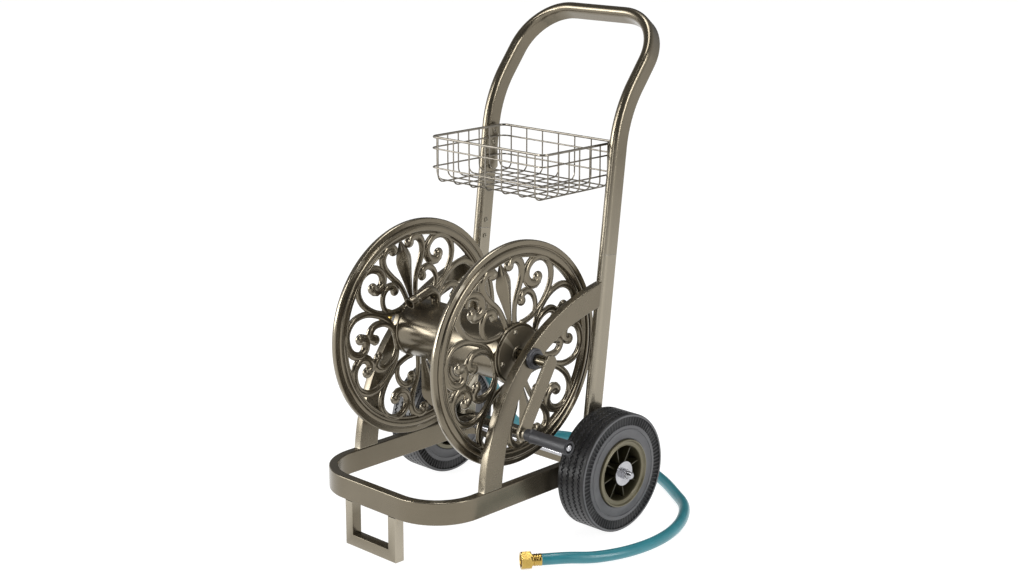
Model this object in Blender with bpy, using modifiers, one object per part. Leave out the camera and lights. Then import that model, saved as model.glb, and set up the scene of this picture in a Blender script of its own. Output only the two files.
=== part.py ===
"""Garden hose reel cart: a two-wheeled steel cart that carries a cranked hose reel and a wire basket.

Metres, +Z up. The origin is on the ground under the middle of the front foot. +X is the crank side,
-Y the front of the cart and +Y the side where a person holds the handle.
"""

import math

import bmesh
import bpy
from mathutils import Matrix, Vector

GAP = 0.0003  # between pieces that touch
SIDES = (("left", -1), ("right", 1))

# Base: a loop of flat bar standing on edge, with a U-shaped foot under its front.
HALF_WIDTH = 0.157
BAR_THICKNESS = 0.0155
BASE_BOTTOM, BASE_TOP = 0.077, 0.115
BASE_FRONT, BASE_REAR = -0.0095, 0.3775
FRONT_CORNER, REAR_CORNER = 0.090, 0.030
FOOT_HALF_WIDTH, FOOT_DEPTH = 0.060, 0.019
FOOT_LEG, FOOT_BAR = 0.017, 0.0195

# Wheels on a fixed axle.
WHEEL_RADIUS, WHEEL_WIDTH = 0.1015, 0.058
WHEEL_X, AXLE_Y = 0.203, 0.350
AXLE_RADIUS, AXLE_HALF_LENGTH = 0.006, 0.251
RIM_RADIUS, HUB_LIP = 0.058, 0.0315

# Uprights and handle: one bar of D section, rounded to the front, that leans back and then leans further.
TUBE_HALF_WIDTH, TUBE_HALF_DEPTH, TUBE_WALL = 0.0095, 0.0155, 0.0015
UPRIGHT_FOOT_Y = 0.3559  # middle of the tube where it meets the base
LOWER_LEAN = 0.1225  # run per rise of the uprights
UPPER_LEAN = 0.787
BEND_HEIGHT, BEND_RADIUS = 0.688, 0.200
HANDLE_TOP, HANDLE_CORNER = 0.8366, 0.090
SEAM_HEIGHT = 0.4555
SPLICE_LENGTH = 0.060
SPLICE_SCREWS = (0.4414, 0.4695)

# Side arches: flat bar between the base and the uprights, which carries the reel.
ARCH_OUTER = ((0.0959, 0.1153), (0.1144, 0.3107), (0.2490, 0.3859), (0.3759, 0.4115))
ARCH_INNER = ((0.1367, 0.1153), (0.1511, 0.2527), (0.2040, 0.3405), (0.3709, 0.3705))

# Reel: two cast scrollwork discs on a drum.
REEL_Y, REEL_Z = 0.2085, 0.317
DISC_RADIUS, DISC_X = 0.188, 0.117
RIM_WIDTH, RIM_THICKNESS = 0.028, 0.012
WEB_THICKNESS, HUB_RING_RADIUS = 0.009, 0.052
PATTERN_TURN = math.radians(13)
DRUM_RADIUS, DRUM_WALL = 0.050, 0.0015
PLATE_RADIUS, PLATE_THICKNESS = 0.048, 0.004
PLATE_SCREW_RADIUS = 0.040
SHAFT_RADIUS, SHAFT_END = 0.009, 0.1907
PIPE_RADIUS = 0.0085
OUTLET_X = -0.080

# Crank: a flat arm on the shaft and a grip that turns on its own bolt.
CRANK_RADIUS, CRANK_TURN = 0.120, math.radians(31.5)
ARM_HALF_WIDTH, ARM_THICKNESS = 0.0130, 0.006
GRIP_RADIUS, GRIP_START, GRIP_END = 0.0118, 0.2027, 0.2935

# Basket between the uprights.
BASKET_HALF_WIDTH, BASKET_FRONT, BASKET_REAR = 0.1325, 0.2570, 0.4390
BASKET_BOTTOM, BASKET_TOP, BASKET_WALL = 0.560, 0.640, 0.003
BRACKET_THICKNESS, BRACKET_WIDTH = 0.002, 0.020
BASKET_SCREWS = (0.609, 0.6285)

# Screws with a domed head.
SCREW_HEAD, SCREW_HEAD_HEIGHT = 0.0045, 0.0024
SCREW_SHANK, SCREW_LENGTH = 0.0022, 0.0085
SCREW_HOLE = 0.0027

# Leader hose: from the water inlet over the left wheel, behind the cart and round the right wheel.
HOSE_RADIUS = 0.0095
INLET_X = -0.190
HOSE_ROUTE = (
    (-0.190, 0.2540, 0.3058), (-0.1905, 0.285, 0.299), (-0.193, 0.330, 0.283), (-0.197, 0.378, 0.255),
    (-0.200, 0.425, 0.213), (-0.201, 0.464, 0.158), (-0.199, 0.498, 0.098), (-0.193, 0.530, 0.049),
    (-0.181, 0.562, 0.022), (-0.160, 0.592, 0.0110), (-0.119, 0.6135, 0.0100), (-0.045, 0.617, 0.0100),
    (0.030, 0.603, 0.0100), (0.095, 0.582, 0.0100), (0.150, 0.5575, 0.0100), (0.203, 0.525, 0.0100),
    (0.2535, 0.488, 0.0100), (0.2895, 0.437, 0.0100), (0.3110, 0.381, 0.0100), (0.3175, 0.323, 0.0100),
    (0.3095, 0.266, 0.0100), (0.2905, 0.214, 0.0115), (0.2665, 0.173, 0.0158), (0.2415, 0.139, 0.0160),
)
HOSE_POINTS = 50
FERRULE_RADIUS, FERRULE_LENGTH = 0.0099, 0.0215
NUT_START, NUT_LENGTH, NUT_ACROSS_CORNERS = 0.0168, 0.0165, 0.031

BRONZE = (0.19, 0.165, 0.125)
DARK_BRONZE = (0.085, 0.075, 0.052)


# --- making things -------------------------------------------------------------------------------

def clear_scene():
    for obj in list(bpy.data.objects):
        bpy.data.objects.remove(obj, do_unlink=True)


def new_collection(name, hidden=False):
    collection = bpy.data.collections.new(name)
    bpy.context.scene.collection.children.link(collection)
    collection.hide_render = hidden
    return collection


def painted(name, colour, roughness, metallic):
    material = bpy.data.materials.new(name)
    material.use_nodes = True
    shader = material.node_tree.nodes["Principled BSDF"]
    shader.inputs["Base Color"].default_value = (*colour, 1)
    shader.inputs["Roughness"].default_value = roughness
    shader.inputs["Metallic"].default_value = metallic
    return material


def add(name, data, material=None, parent=None, location=(0, 0, 0), rotation=(0, 0, 0)):
    """Links an object for this data: a sub-part when it has a material, else a hidden tool."""
    obj = bpy.data.objects.new(name, data)
    if material:
        data.materials.append(material)
        parts.objects.link(obj)
    else:
        tools.objects.link(obj)
        obj.hide_render = True
        obj.display_type = "WIRE"
    obj.parent = parent
    obj.location = location
    obj.rotation_euler = rotation
    return obj


def pivot(name, location):
    empty = bpy.data.objects.new(name, None)
    parts.objects.link(empty)
    empty.location = location
    return empty


def from_bmesh(name, bm, material=None, smooth=True, **place):
    mesh = bpy.data.meshes.new(name)
    bm.to_mesh(mesh)
    bm.free()
    obj = add(name, mesh, material, **place)
    if smooth:
        mesh.shade_smooth()
        mesh.set_sharp_from_angle(angle=math.radians(35))
    return obj


def box(name, low, high, material=None, **place):
    bm = bmesh.new()
    bmesh.ops.create_cube(bm, size=1)
    size = [b - a for a, b in zip(low, high)]
    middle = [(a + b) / 2 for a, b in zip(low, high)]
    bmesh.ops.transform(bm, matrix=Matrix.Translation(middle) @ Matrix.Diagonal((*size, 1)), verts=bm.verts)
    return from_bmesh(name, bm, material, smooth=False, **place)


def rod(name, radius, start, end, material=None, sides=20, **place):
    """A round bar along X between two x positions."""
    bm = bmesh.new()
    bmesh.ops.create_cone(bm, cap_ends=True, segments=sides, radius1=radius, radius2=radius, depth=end - start)
    middle = Matrix.Translation(((start + end) / 2, 0, 0))
    bmesh.ops.transform(bm, matrix=middle @ Matrix.Rotation(math.pi / 2, 4, "Y"), verts=bm.verts)
    return from_bmesh(name, bm, material, **place)


def turned(name, profile, material=None, steps=24, ring=False, side=1, **place):
    """Spins (radius, x) pairs, listed from +X to -X down the outer side, about the X axis."""
    mesh = bpy.data.meshes.new(name)
    count = len(profile)
    edges = [(i, i + 1) for i in range(count - 1)]
    if ring:
        edges.append((count - 1, 0))
    mesh.from_pydata([(radius, 0, x) for radius, x in profile], edges, [])
    obj = add(name, mesh, material, rotation=(0, side * math.pi / 2, 0), **place)
    screw = obj.modifiers.new("Spin", "SCREW")
    screw.steps = screw.render_steps = steps
    screw.use_merge_vertices = True
    screw.merge_threshold = 0.0001
    screw.use_smooth_shade = True
    return obj


def to_mesh(curve_object):
    """Replaces a curve object by its mesh, with the caps welded on."""
    bpy.context.view_layer.update()
    evaluated = curve_object.evaluated_get(bpy.context.evaluated_depsgraph_get())
    mesh = bpy.data.meshes.new_from_object(evaluated)
    bm = bmesh.new()
    bm.from_mesh(mesh)
    bmesh.ops.remove_doubles(bm, verts=bm.verts, dist=1e-6)
    bm.to_mesh(mesh)
    bm.free()
    obj = bpy.data.objects.new(curve_object.name, mesh)
    curve_object.users_collection[0].objects.link(obj)
    obj.parent = curve_object.parent
    obj.location = curve_object.location
    obj.rotation_euler = curve_object.rotation_euler
    obj.hide_render = curve_object.hide_render
    obj.display_type = curve_object.display_type
    name = curve_object.name
    bpy.data.objects.remove(curve_object)
    obj.name = name
    return obj


def poly_spline(curve, points, closed, radii=None):
    """Adds a straight-sided spline; radii scale the bevel at each point."""
    spline = curve.splines.new("POLY")
    spline.points.add(len(points) - 1)
    for i, point in enumerate(points):
        spline.points[i].co = (*point, *([0] * (3 - len(point))), 1)
        spline.points[i].radius = radii[i] if radii else 1
    spline.use_cyclic_u = closed


def plate(name, outlines, thickness, material=None, **place):
    """A flat piece: outlines in the object's XY plane, with the thickness shared about it."""
    curve = bpy.data.curves.new(name, "CURVE")
    curve.dimensions = "2D"
    curve.fill_mode = "BOTH"
    curve.extrude = thickness / 2
    for outline in outlines:
        poly_spline(curve, outline, True)
    return to_mesh(add(name, curve, material, **place))


def wire(name, points, radius, resolution=2, material=None, radii=None, **place):
    """A round rod, pipe or hose along a path."""
    curve = bpy.data.curves.new(name, "CURVE")
    curve.dimensions = "3D"
    curve.bevel_depth = radius
    curve.bevel_resolution = resolution
    curve.use_fill_caps = True
    poly_spline(curve, points, False, radii)
    return to_mesh(add(name, curve, material, **place))


def facing_x(turn=0.0):
    """Rotation that lays a drawing's XY plane in the world's YZ plane, then turns it about +X."""
    return (math.pi / 2, -turn, math.pi / 2)


def boolean(obj, operation, *others, solver="EXACT"):
    for other in others:
        modifier = obj.modifiers.new(other.name, "BOOLEAN")
        modifier.operation = operation
        modifier.solver = solver
        modifier.object = other
    return obj


def rounded(corners, radii, closed=False, steps=6):
    """The corners' polyline with each corner replaced by an arc of its radius."""
    corners = [Vector(corner) for corner in corners]
    points = []
    for i, corner in enumerate(corners):
        if not closed and i in (0, len(corners) - 1):
            points.append(corner)
            continue
        before = (corners[i - 1] - corner).normalized()
        after = (corners[(i + 1) % len(corners)] - corner).normalized()
        half = before.angle(after) / 2
        centre = corner + (before + after).normalized() * radii[i] / math.sin(half)
        start = corner + before * radii[i] / math.tan(half) - centre
        end = corner + after * radii[i] / math.tan(half) - centre
        sweep = start.angle(end)
        for step in range(steps + 1):
            t = step / steps
            points.append(centre + (start * math.sin((1 - t) * sweep) + end * math.sin(t * sweep)) / math.sin(sweep))
    return points


def bezier(controls, steps=9):
    p = [Vector(control) for control in controls]
    points = []
    for step in range(steps + 1):
        t = step / steps
        s = 1 - t
        points.append(p[0] * s ** 3 + p[1] * 3 * s * s * t + p[2] * 3 * s * t * t + p[3] * t ** 3)
    return points


def smooth_through(points, count):
    """Evenly spaced points on a Catmull-Rom curve through the route's own points."""
    p = [Vector(point) for point in points]
    p = [p[0] * 2 - p[1], *p, p[-1] * 2 - p[-2]]
    fine = []
    for i in range(1, len(p) - 2):
        for step in range(16):
            t = step / 16
            fine.append(0.5 * (2 * p[i] + (p[i + 1] - p[i - 1]) * t
                               + (2 * p[i - 1] - 5 * p[i] + 4 * p[i + 1] - p[i + 2]) * t * t
                               + (3 * p[i] - p[i - 1] - 3 * p[i + 1] + p[i + 2]) * t ** 3))
    fine.append(p[-2])
    along = [0.0]
    for a, b in zip(fine, fine[1:]):
        along.append(along[-1] + (b - a).length)
    result, j = [], 0
    for i in range(count):
        target = along[-1] * i / (count - 1)
        while j < len(fine) - 2 and along[j + 1] < target:
            j += 1
        part = (target - along[j]) / (along[j + 1] - along[j])
        result.append(fine[j].lerp(fine[j + 1], part))
    return result


def hex_nut(name, across_corners, bore, thickness, **place):
    """A hexagon nut with a hexagon hole round the bore, from x = 0 towards +X."""
    hole = bore / math.cos(math.pi / 6)
    profile = [(hole, thickness), (across_corners / 2, thickness), (across_corners / 2, 0), (hole, 0)]
    return turned(name, profile, zinc, steps=6, ring=True, **place)


def screw(name, x, y, z, side, **place):
    """A domed screw whose head is at x and whose shank runs towards side * X. It returns its hole cutter too."""
    profile = [(0, SCREW_HEAD_HEIGHT), (SCREW_HEAD * 0.7, SCREW_HEAD_HEIGHT * 0.75), (SCREW_HEAD, 0),
               (SCREW_SHANK, 0), (SCREW_SHANK, -SCREW_LENGTH), (0, -SCREW_LENGTH)]
    turned(name, profile, zinc_dark, steps=8, side=-side, location=(x, y, z), **place)
    return rod(name + "_hole", SCREW_HOLE, -0.012, 0.012, sides=8, location=(x, y, z), **place)


# --- frame ---------------------------------------------------------------------------------------

def upright_y(z):
    return UPRIGHT_FOOT_Y + LOWER_LEAN * (z - BASE_TOP)


def d_section(inset=0.0):
    """Outline of the tube across its width and depth: flat back and sides, and a round front."""
    w, d = TUBE_HALF_WIDTH - inset, TUBE_HALF_DEPTH - inset
    front = [(w * math.cos(a), d * 0.35 + d * 0.65 * math.sin(a))
             for a in (math.pi * i / 4 for i in range(5))]
    return [(-w, -d), (w, -d), *front]


def d_tube(name, points, material, inset=0.0):
    """A hollow D tube along a path, round side to the front."""
    guide = bpy.data.curves.new(name + "_section", "CURVE")
    guide.dimensions = "2D"
    poly_spline(guide, d_section(inset), True)
    curve = bpy.data.curves.new(name, "CURVE")
    curve.dimensions = "3D"
    curve.bevel_mode = "OBJECT"
    curve.bevel_object = add(name + "_section", guide)
    poly_spline(curve, points, False)
    obj = to_mesh(add(name, curve, material))
    bm = bmesh.new()
    bm.from_mesh(obj.data)
    bmesh.ops.recalc_face_normals(bm, faces=bm.faces)
    bm.to_mesh(obj.data)
    bm.free()
    shell = obj.modifiers.new("Wall", "SOLIDIFY")
    shell.thickness = TUBE_WALL
    shell.offset = -1
    shell.use_even_offset = True
    return obj


def make_base():
    t = BAR_THICKNESS
    corners = ((HALF_WIDTH, BASE_FRONT), (HALF_WIDTH, BASE_REAR), (-HALF_WIDTH, BASE_REAR), (-HALF_WIDTH, BASE_FRONT))
    inner = ((HALF_WIDTH - t, BASE_FRONT + t), (HALF_WIDTH - t, BASE_REAR - t),
             (t - HALF_WIDTH, BASE_REAR - t), (t - HALF_WIDTH, BASE_FRONT + t))
    radii = (FRONT_CORNER, REAR_CORNER, REAR_CORNER, FRONT_CORNER)
    outlines = (rounded(corners, radii, True), rounded(inner, [r - t for r in radii], True))
    base = plate("base_frame", outlines, BASE_TOP - BASE_BOTTOM, bronze, location=(0, 0, (BASE_BOTTOM + BASE_TOP) / 2))
    boolean(base, "DIFFERENCE", rod("axle_hole", AXLE_RADIUS + GAP, -0.2, 0.2, sides=24,
                                    location=(0, AXLE_Y, WHEEL_RADIUS)))
    top = BASE_BOTTOM - GAP
    w, leg = FOOT_HALF_WIDTH, FOOT_LEG
    foot = [(-w, 0), (w, 0), (w, top), (w - leg, top), (w - leg, FOOT_BAR),
            (leg - w, FOOT_BAR), (leg - w, top), (-w, top)]
    plate("front_foot", [foot], FOOT_DEPTH, bronze, rotation=(math.pi / 2, 0, 0))


def make_arches():
    outline = bezier(ARCH_OUTER) + bezier(ARCH_INNER)[::-1]
    for name, side in SIDES:
        x = side * (HALF_WIDTH - BAR_THICKNESS / 2)
        arch = plate("side_arch_" + name, [outline], BAR_THICKNESS, bronze,
                     location=(x, 0, 0), rotation=facing_x())
        boolean(arch, "DIFFERENCE", rod("bush_hole_" + name, 0.0128, -0.02, 0.02, sides=24,
                                        location=(x, REEL_Y, REEL_Z)))


def make_uprights():
    """Lower uprights, the one-piece handle above the seam, the sleeves that join them and their screws."""
    x = HALF_WIDTH - TUBE_HALF_WIDTH
    rise = HANDLE_TOP - BEND_HEIGHT
    bend = (upright_y(BEND_HEIGHT), BEND_HEIGHT)
    top = (bend[0] + UPPER_LEAN * rise, HANDLE_TOP)
    seam = SEAM_HEIGHT + GAP
    corners = [(-x, upright_y(seam), seam), (-x, *bend), (-x, *top), (x, *top), (x, *bend), (x, upright_y(seam), seam)]
    radii = (0, BEND_RADIUS, HANDLE_CORNER, HANDLE_CORNER, BEND_RADIUS, 0)
    handle = d_tube("handle", rounded(corners, radii, steps=6), bronze)
    foot = BASE_TOP + GAP + LOWER_LEAN * TUBE_HALF_DEPTH  # clears the base although the tube's end is square
    inner_face = HALF_WIDTH - 2 * TUBE_HALF_WIDTH
    half = SPLICE_LENGTH / 2
    for name, side in SIDES:
        lower = d_tube("lower_upright_" + name,
                       [(side * x, upright_y(z), z) for z in (foot, SEAM_HEIGHT - GAP)], bronze)
        sleeve = d_tube("splice_sleeve_" + name,
                        [(side * x, upright_y(z), z) for z in (SEAM_HEIGHT - half, SEAM_HEIGHT + half)],
                        zinc, inset=TUBE_WALL + GAP)
        for place, z, tube in (("lower", SPLICE_SCREWS[0], lower), ("upper", SPLICE_SCREWS[1], handle)):
            hole = screw(f"splice_screw_{name}_{place}", side * (inner_face - GAP), upright_y(z), z, side)
            boolean(tube, "DIFFERENCE", hole)
            boolean(sleeve, "DIFFERENCE", hole)
        bracket_x = inner_face - GAP - BRACKET_THICKNESS
        y = upright_y(sum(BASKET_SCREWS) / 2)
        low = (min(side * bracket_x, side * (inner_face - GAP)), y - BRACKET_WIDTH / 2, BASKET_BOTTOM)
        high = (max(side * bracket_x, side * (inner_face - GAP)), y + BRACKET_WIDTH / 2, BASKET_TOP)
        bracket = box("basket_bracket_" + name, low, high, dark_bronze)
        for place, z in zip(("lower", "upper"), BASKET_SCREWS):
            hole = screw(f"basket_screw_{name}_{place}", side * (bracket_x - GAP), upright_y(z), z, side)
            boolean(handle, "DIFFERENCE", hole)
            boolean(bracket, "DIFFERENCE", hole)


def make_basket():
    """The wire basket's outer shape: an open-topped tray as thick as its wire."""
    w = BASKET_HALF_WIDTH
    corners = ((w, BASKET_FRONT), (w, BASKET_REAR), (-w, BASKET_REAR), (-w, BASKET_FRONT))
    outline = rounded(corners, [0.012] * 4, True, 3)
    bm = bmesh.new()
    floor = bm.faces.new([bm.verts.new((*point, BASKET_BOTTOM)) for point in outline])
    raised = bmesh.ops.extrude_face_region(bm, geom=[floor])["geom"]
    verts = [item for item in raised if isinstance(item, bmesh.types.BMVert)]
    bmesh.ops.translate(bm, vec=(0, 0, BASKET_TOP - BASKET_BOTTOM), verts=verts)
    lid = [face for face in bm.faces if all(v.co.z > BASKET_BOTTOM + 0.01 for v in face.verts)]
    bmesh.ops.delete(bm, geom=lid, context="FACES")
    bmesh.ops.recalc_face_normals(bm, faces=bm.faces)
    if next(face for face in bm.faces if len(face.verts) > 4).normal.z > 0:
        bmesh.ops.reverse_faces(bm, faces=bm.faces)
    basket = from_bmesh("wire_basket", bm, wire_grey, smooth=False)
    shell = basket.modifiers.new("Wall", "SOLIDIFY")
    shell.thickness = BASKET_WALL
    shell.offset = -1
    shell.use_even_offset = True


# --- wheels --------------------------------------------------------------------------------------

def make_wheels():
    y, z = AXLE_Y, WHEEL_RADIUS
    rod("wheel_axle", AXLE_RADIUS, -AXLE_HALF_LENGTH, AXLE_HALF_LENGTH, zinc, location=(0, y, z))
    half = WHEEL_WIDTH / 2
    bore = AXLE_RADIUS + GAP
    tread = WHEEL_RADIUS
    tyre_profile = [(RIM_RADIUS + GAP, half - 0.003), (0.075, half), (0.096, half - 0.0005), (tread, half - 0.004),
                    (tread, 0.004 - half), (0.096, 0.0005 - half), (0.075, -half), (RIM_RADIUS + GAP, 0.003 - half)]
    hub_profile = [(0.047, HUB_LIP), (RIM_RADIUS, HUB_LIP), (RIM_RADIUS, -0.028), (0.051, -0.028), (0.051, -0.004),
                   (0.016, -0.004), (0.016, -0.044), (bore, -0.044), (bore, 0.0285), (0.016, 0.0285),
                   (0.016, 0.002), (0.047, 0.002)]
    for name, side in SIDES:
        axis = pivot("wheel_axis_" + name, (side * WHEEL_X, y, z))
        turned("tyre_" + name, tyre_profile, tyre_rubber, steps=32, ring=True, side=side, parent=axis)
        hub = turned("wheel_hub_" + name, hub_profile, dark_bronze, ring=True, side=side, parent=axis)
        for i in range(4):
            for end in (-1, 1):
                low, high = sorted((end * 0.0145, end * 0.0485))
                rib = box(f"rib_{name}_{i}_{end}", (side * 0.0115 - 0.012, -0.0012, low),
                          (side * 0.0115 + 0.012, 0.0012, high), parent=axis, rotation=(math.pi * (i / 4 + 0.07), 0, 0))
                boolean(hub, "UNION", rib)
        face = WHEEL_X + 0.0285 + GAP
        turned("wheel_washer_" + name, [(bore, 0.002), (0.021, 0.002), (0.021, 0), (bore, 0)], zinc, ring=True,
               side=side, location=(side * face, y, z))
        nut = face + 0.002 + GAP
        hex_nut("wheel_nut_" + name, 0.019, bore, 0.008, side=side, location=(side * nut, y, z))


# --- reel ----------------------------------------------------------------------------------------

# Scrollwork of a disc, in disc radii, with the leaf pointing up. Each stroke is its points and its width at
# the first and at the last of them, and is mirrored into the other quarters.
SCROLLS = (
    (((0.09, 0.25), (0.30, 0.25), (0.46, 0.33), (0.57, 0.47), (0.57, 0.62), (0.47, 0.72), (0.34, 0.71),
      (0.27, 0.61), (0.33, 0.52), (0.42, 0.54)), 0.8, 1.9),
    (((0.30, 0.25), (0.33, 0.36), (0.29, 0.46), (0.20, 0.47)), 0.8, 1.6),
    (((0.04, 0.25), (0.10, 0.44), (0.21, 0.60), (0.24, 0.75), (0.16, 0.84), (0.09, 0.85)), 0.7, 1.5),
    (((0.34, 0.16), (0.42, 0.27), (0.56, 0.36), (0.71, 0.37), (0.83, 0.27), (0.845, 0.14), (0.76, 0.03),
      (0.65, 0.05), (0.63, 0.15)), 0.8, 1.9),
)
SIDE_C = ((0.47, 0.07), (0.54, 0.14), (0.47, 0.21), (0.35, 0.18), (0.26, 0.08))
LEAF = ((0.02, 0.24), (0.06, 0.44), (0.085, 0.62), (0.06, 0.76), (0.0, 0.87))
STROKE = 0.0042


def make_disc(name, side, axis):
    r, half, t = DISC_RADIUS, RIM_THICKNESS / 2, WEB_THICKNESS / 2
    place = {"parent": axis, "location": (side * DISC_X, 0, 0)}
    rim = [(r - RIM_WIDTH, half * 0.6), (r - 0.016, half), (r, half * 0.75),
           (r, -half * 0.75), (r - 0.016, -half), (r - RIM_WIDTH, -half * 0.6)]
    disc = turned("reel_disc_" + name, rim, bronze, steps=36, ring=True, **place)
    hub = [(0.012, t), (HUB_RING_RADIUS, t), (HUB_RING_RADIUS, -t), (0.012, -t)]
    flat = {"rotation": facing_x(PATTERN_TURN), **place}
    strokes = []
    for mx in (1, -1):
        for my in (1, -1):
            key = f"{name}_{mx}_{my}"
            for i, (points, first, last) in enumerate(SCROLLS):
                path = [(mx * x * r, my * y * r, 0) for x, y in points]
                widths = [first + (last - first) * (k / (len(path) - 1)) ** 2 for k in range(len(path))]
                strokes.append(wire(f"scroll_{key}_{i}", path, STROKE, 0, radii=widths, **flat))
        loop = [(mx * x * r, y * r, 0) for x, y in SIDE_C] + [(mx * x * r, -y * r, 0) for x, y in SIDE_C[::-1]]
        widths = [1.7, 1.3, 1, 0.9, 0.9, 0.9, 0.9, 1, 1.3, 1.7]
        strokes.append(wire(f"scroll_side_{name}_{mx}", loop, STROKE, 0, radii=widths, **flat))
        leaf = [(x * r, mx * y * r) for x, y in LEAF] + [(-x * r, mx * y * r) for x, y in LEAF[-2::-1]]
        strokes.append(plate(f"leaf_{name}_{mx}", [leaf], 0.007, **flat))
    boolean(disc, "UNION", turned(f"hub_ring_{name}", hub, ring=True, **place))
    boolean(disc, "UNION", *strokes, solver="MANIFOLD")
    return disc


def make_reel():
    axis = pivot("reel_axis", (0, REEL_Y, REEL_Z))
    drum_half = DISC_X - WEB_THICKNESS / 2 - GAP
    inner = DRUM_RADIUS - DRUM_WALL
    drum = turned("drum", [(inner, drum_half), (DRUM_RADIUS, drum_half), (DRUM_RADIUS, -drum_half), (inner, -drum_half)],
                  bronze, steps=32, ring=True, parent=axis)
    plate_x = DISC_X + WEB_THICKNESS / 2 + GAP
    for name, side in SIDES:
        disc = make_disc(name, side, axis)
        bore = (SHAFT_RADIUS if side > 0 else PIPE_RADIUS) + GAP
        cap = turned("hub_plate_" + name,
                     [(bore, PLATE_THICKNESS), (PLATE_RADIUS - 0.001, PLATE_THICKNESS),
                      (PLATE_RADIUS, PLATE_THICKNESS - 0.001), (PLATE_RADIUS, 0), (bore, 0)],
                     dark_bronze, steps=24, ring=True, side=side, parent=axis, location=(side * plate_x, 0, 0))
        for i in range(4):
            angle = PATTERN_TURN + math.pi / 2 * i
            y, z = PLATE_SCREW_RADIUS * math.cos(angle), PLATE_SCREW_RADIUS * math.sin(angle)
            hole = screw(f"hub_screw_{name}_{i + 1}", side * (plate_x + PLATE_THICKNESS + GAP), y, z, -side, parent=axis)
            boolean(disc, "DIFFERENCE", hole)
            boolean(cap, "DIFFERENCE", hole)
    rod("reel_shaft", SHAFT_RADIUS, 0.100, SHAFT_END, steel, parent=axis)
    rod("inlet_pipe", PIPE_RADIUS, INLET_X - 0.006, OUTLET_X + 0.012, brass, parent=axis)
    path = rounded([(OUTLET_X, 0.010, PIPE_RADIUS + 2 * GAP), (OUTLET_X, 0.010, 0.0755), (OUTLET_X, -0.050, 0.0555)],
                   (0, 0.016, 0))
    wire("outlet_gooseneck", path, 0.0105, 2, bronze, parent=axis)
    hole = wire("gooseneck_hole", [(OUTLET_X, 0.010, 0.02), (OUTLET_X, 0.010, 0.08)], 0.0115, 2, parent=axis)
    boolean(drum, "DIFFERENCE", hole)


def make_crank():
    axis = bpy.data.objects["reel_axis"]
    y, z = -CRANK_RADIUS * math.sin(CRANK_TURN), -CRANK_RADIUS * math.cos(CRANK_TURN)
    w, length = ARM_HALF_WIDTH, CRANK_RADIUS
    ends = [math.pi * i / 6 for i in range(7)]
    outline = [(w * math.cos(a), w * math.sin(a)) for a in ends]
    outline += [(-w * math.cos(a), -length - w * math.sin(a)) for a in ends]
    arm_x = SHAFT_END + GAP + ARM_THICKNESS / 2
    arm = plate("crank_arm", [outline], ARM_THICKNESS, bronze, parent=axis, location=(arm_x, 0, 0),
                rotation=facing_x(-CRANK_TURN))
    bolt_radius = 0.004
    boolean(arm, "DIFFERENCE", rod("bolt_hole", bolt_radius + GAP, -0.01, 0.01, parent=axis, location=(arm_x, y, z)))
    back, front = SHAFT_END, SHAFT_END + 2 * GAP + ARM_THICKNESS
    bore = bolt_radius + GAP
    hex_nut("crank_nut", 0.016, bore, 0.005, parent=axis, location=(back - 0.005, y, z))
    turned("grip_collar", [(bore, 0.0045), (0.0075, 0.0045), (0.0085, 0), (bore, 0)], zinc, steps=16, ring=True,
           parent=axis, location=(front, y, z))
    turned("grip_bolt", [(0, GRIP_END + 0.0005), (0.004, GRIP_END), (0.006, GRIP_END - 0.002),
                         (0.006, GRIP_END - 0.0045), (bolt_radius, GRIP_END - 0.0045), (bolt_radius, back - 0.008),
                         (0, back - 0.008)],
           zinc, steps=16, parent=axis, location=(0, y, z))
    grip_axis = pivot("grip_axis", (0, REEL_Y + y, REEL_Z + z))
    r = GRIP_RADIUS
    turned("crank_grip", [(0.0075, GRIP_END), (r - 0.0015, GRIP_END), (r, GRIP_END - 0.002), (r, GRIP_END - 0.018),
                          (r * 0.94, GRIP_START + 0.030), (r, GRIP_START + 0.012), (r - 0.002, GRIP_START),
                          (bore, GRIP_START), (bore, GRIP_END - 0.006), (0.0075, GRIP_END - 0.006)],
           grip_rubber, steps=20, ring=True, parent=grip_axis)


def make_bearings():
    """Plastic bushes in the arches: the shaft turns in the right one and the inlet pipe in the left one."""
    barrel, flange = 0.0125, 0.0175
    inside = HALF_WIDTH - BAR_THICKNESS - 0.002
    for (name, side), shaft in zip(SIDES, (PIPE_RADIUS, SHAFT_RADIUS)):
        bore = shaft + GAP
        outer = HALF_WIDTH + GAP
        turned("shaft_bush_" + name,
               [(bore, outer + 0.009), (flange - 0.002, outer + 0.009), (flange, outer + 0.006), (flange, outer),
                (barrel, outer), (barrel, inside), (bore, inside)],
               dark_plastic, ring=True, side=side, location=(0, REEL_Y, REEL_Z))


def make_inlet():
    """The fixed brass swivel round the end of the inlet pipe, its hose stub and the hose's nut."""
    bore = PIPE_RADIUS + GAP
    start, end = HALF_WIDTH + 0.009 + 2 * GAP, -INLET_X + 0.012
    body = turned("inlet_swivel", [(0, end), (0.011, end), (0.015, end - 0.004), (0.015, start), (bore, start),
                                   (bore, -INLET_X + 0.0065), (0, -INLET_X + 0.0065)],
                  brass, steps=20, side=-1, location=(0, REEL_Y, REEL_Z))
    stub = wire("inlet_stub", [(INLET_X, REEL_Y + 0.0125, REEL_Z - 0.001), (INLET_X, REEL_Y + 0.030, REEL_Z - 0.0065)],
                0.009, 2)
    boolean(body, "UNION", stub)
    first, second = Vector(HOSE_ROUTE[0]), Vector(HOSE_ROUTE[1])
    out = (second - first).normalized()
    wire("hose_nut_inlet", [first - out * (0.0145 + GAP), first - out * GAP], 0.0155, 1, brass)


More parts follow.
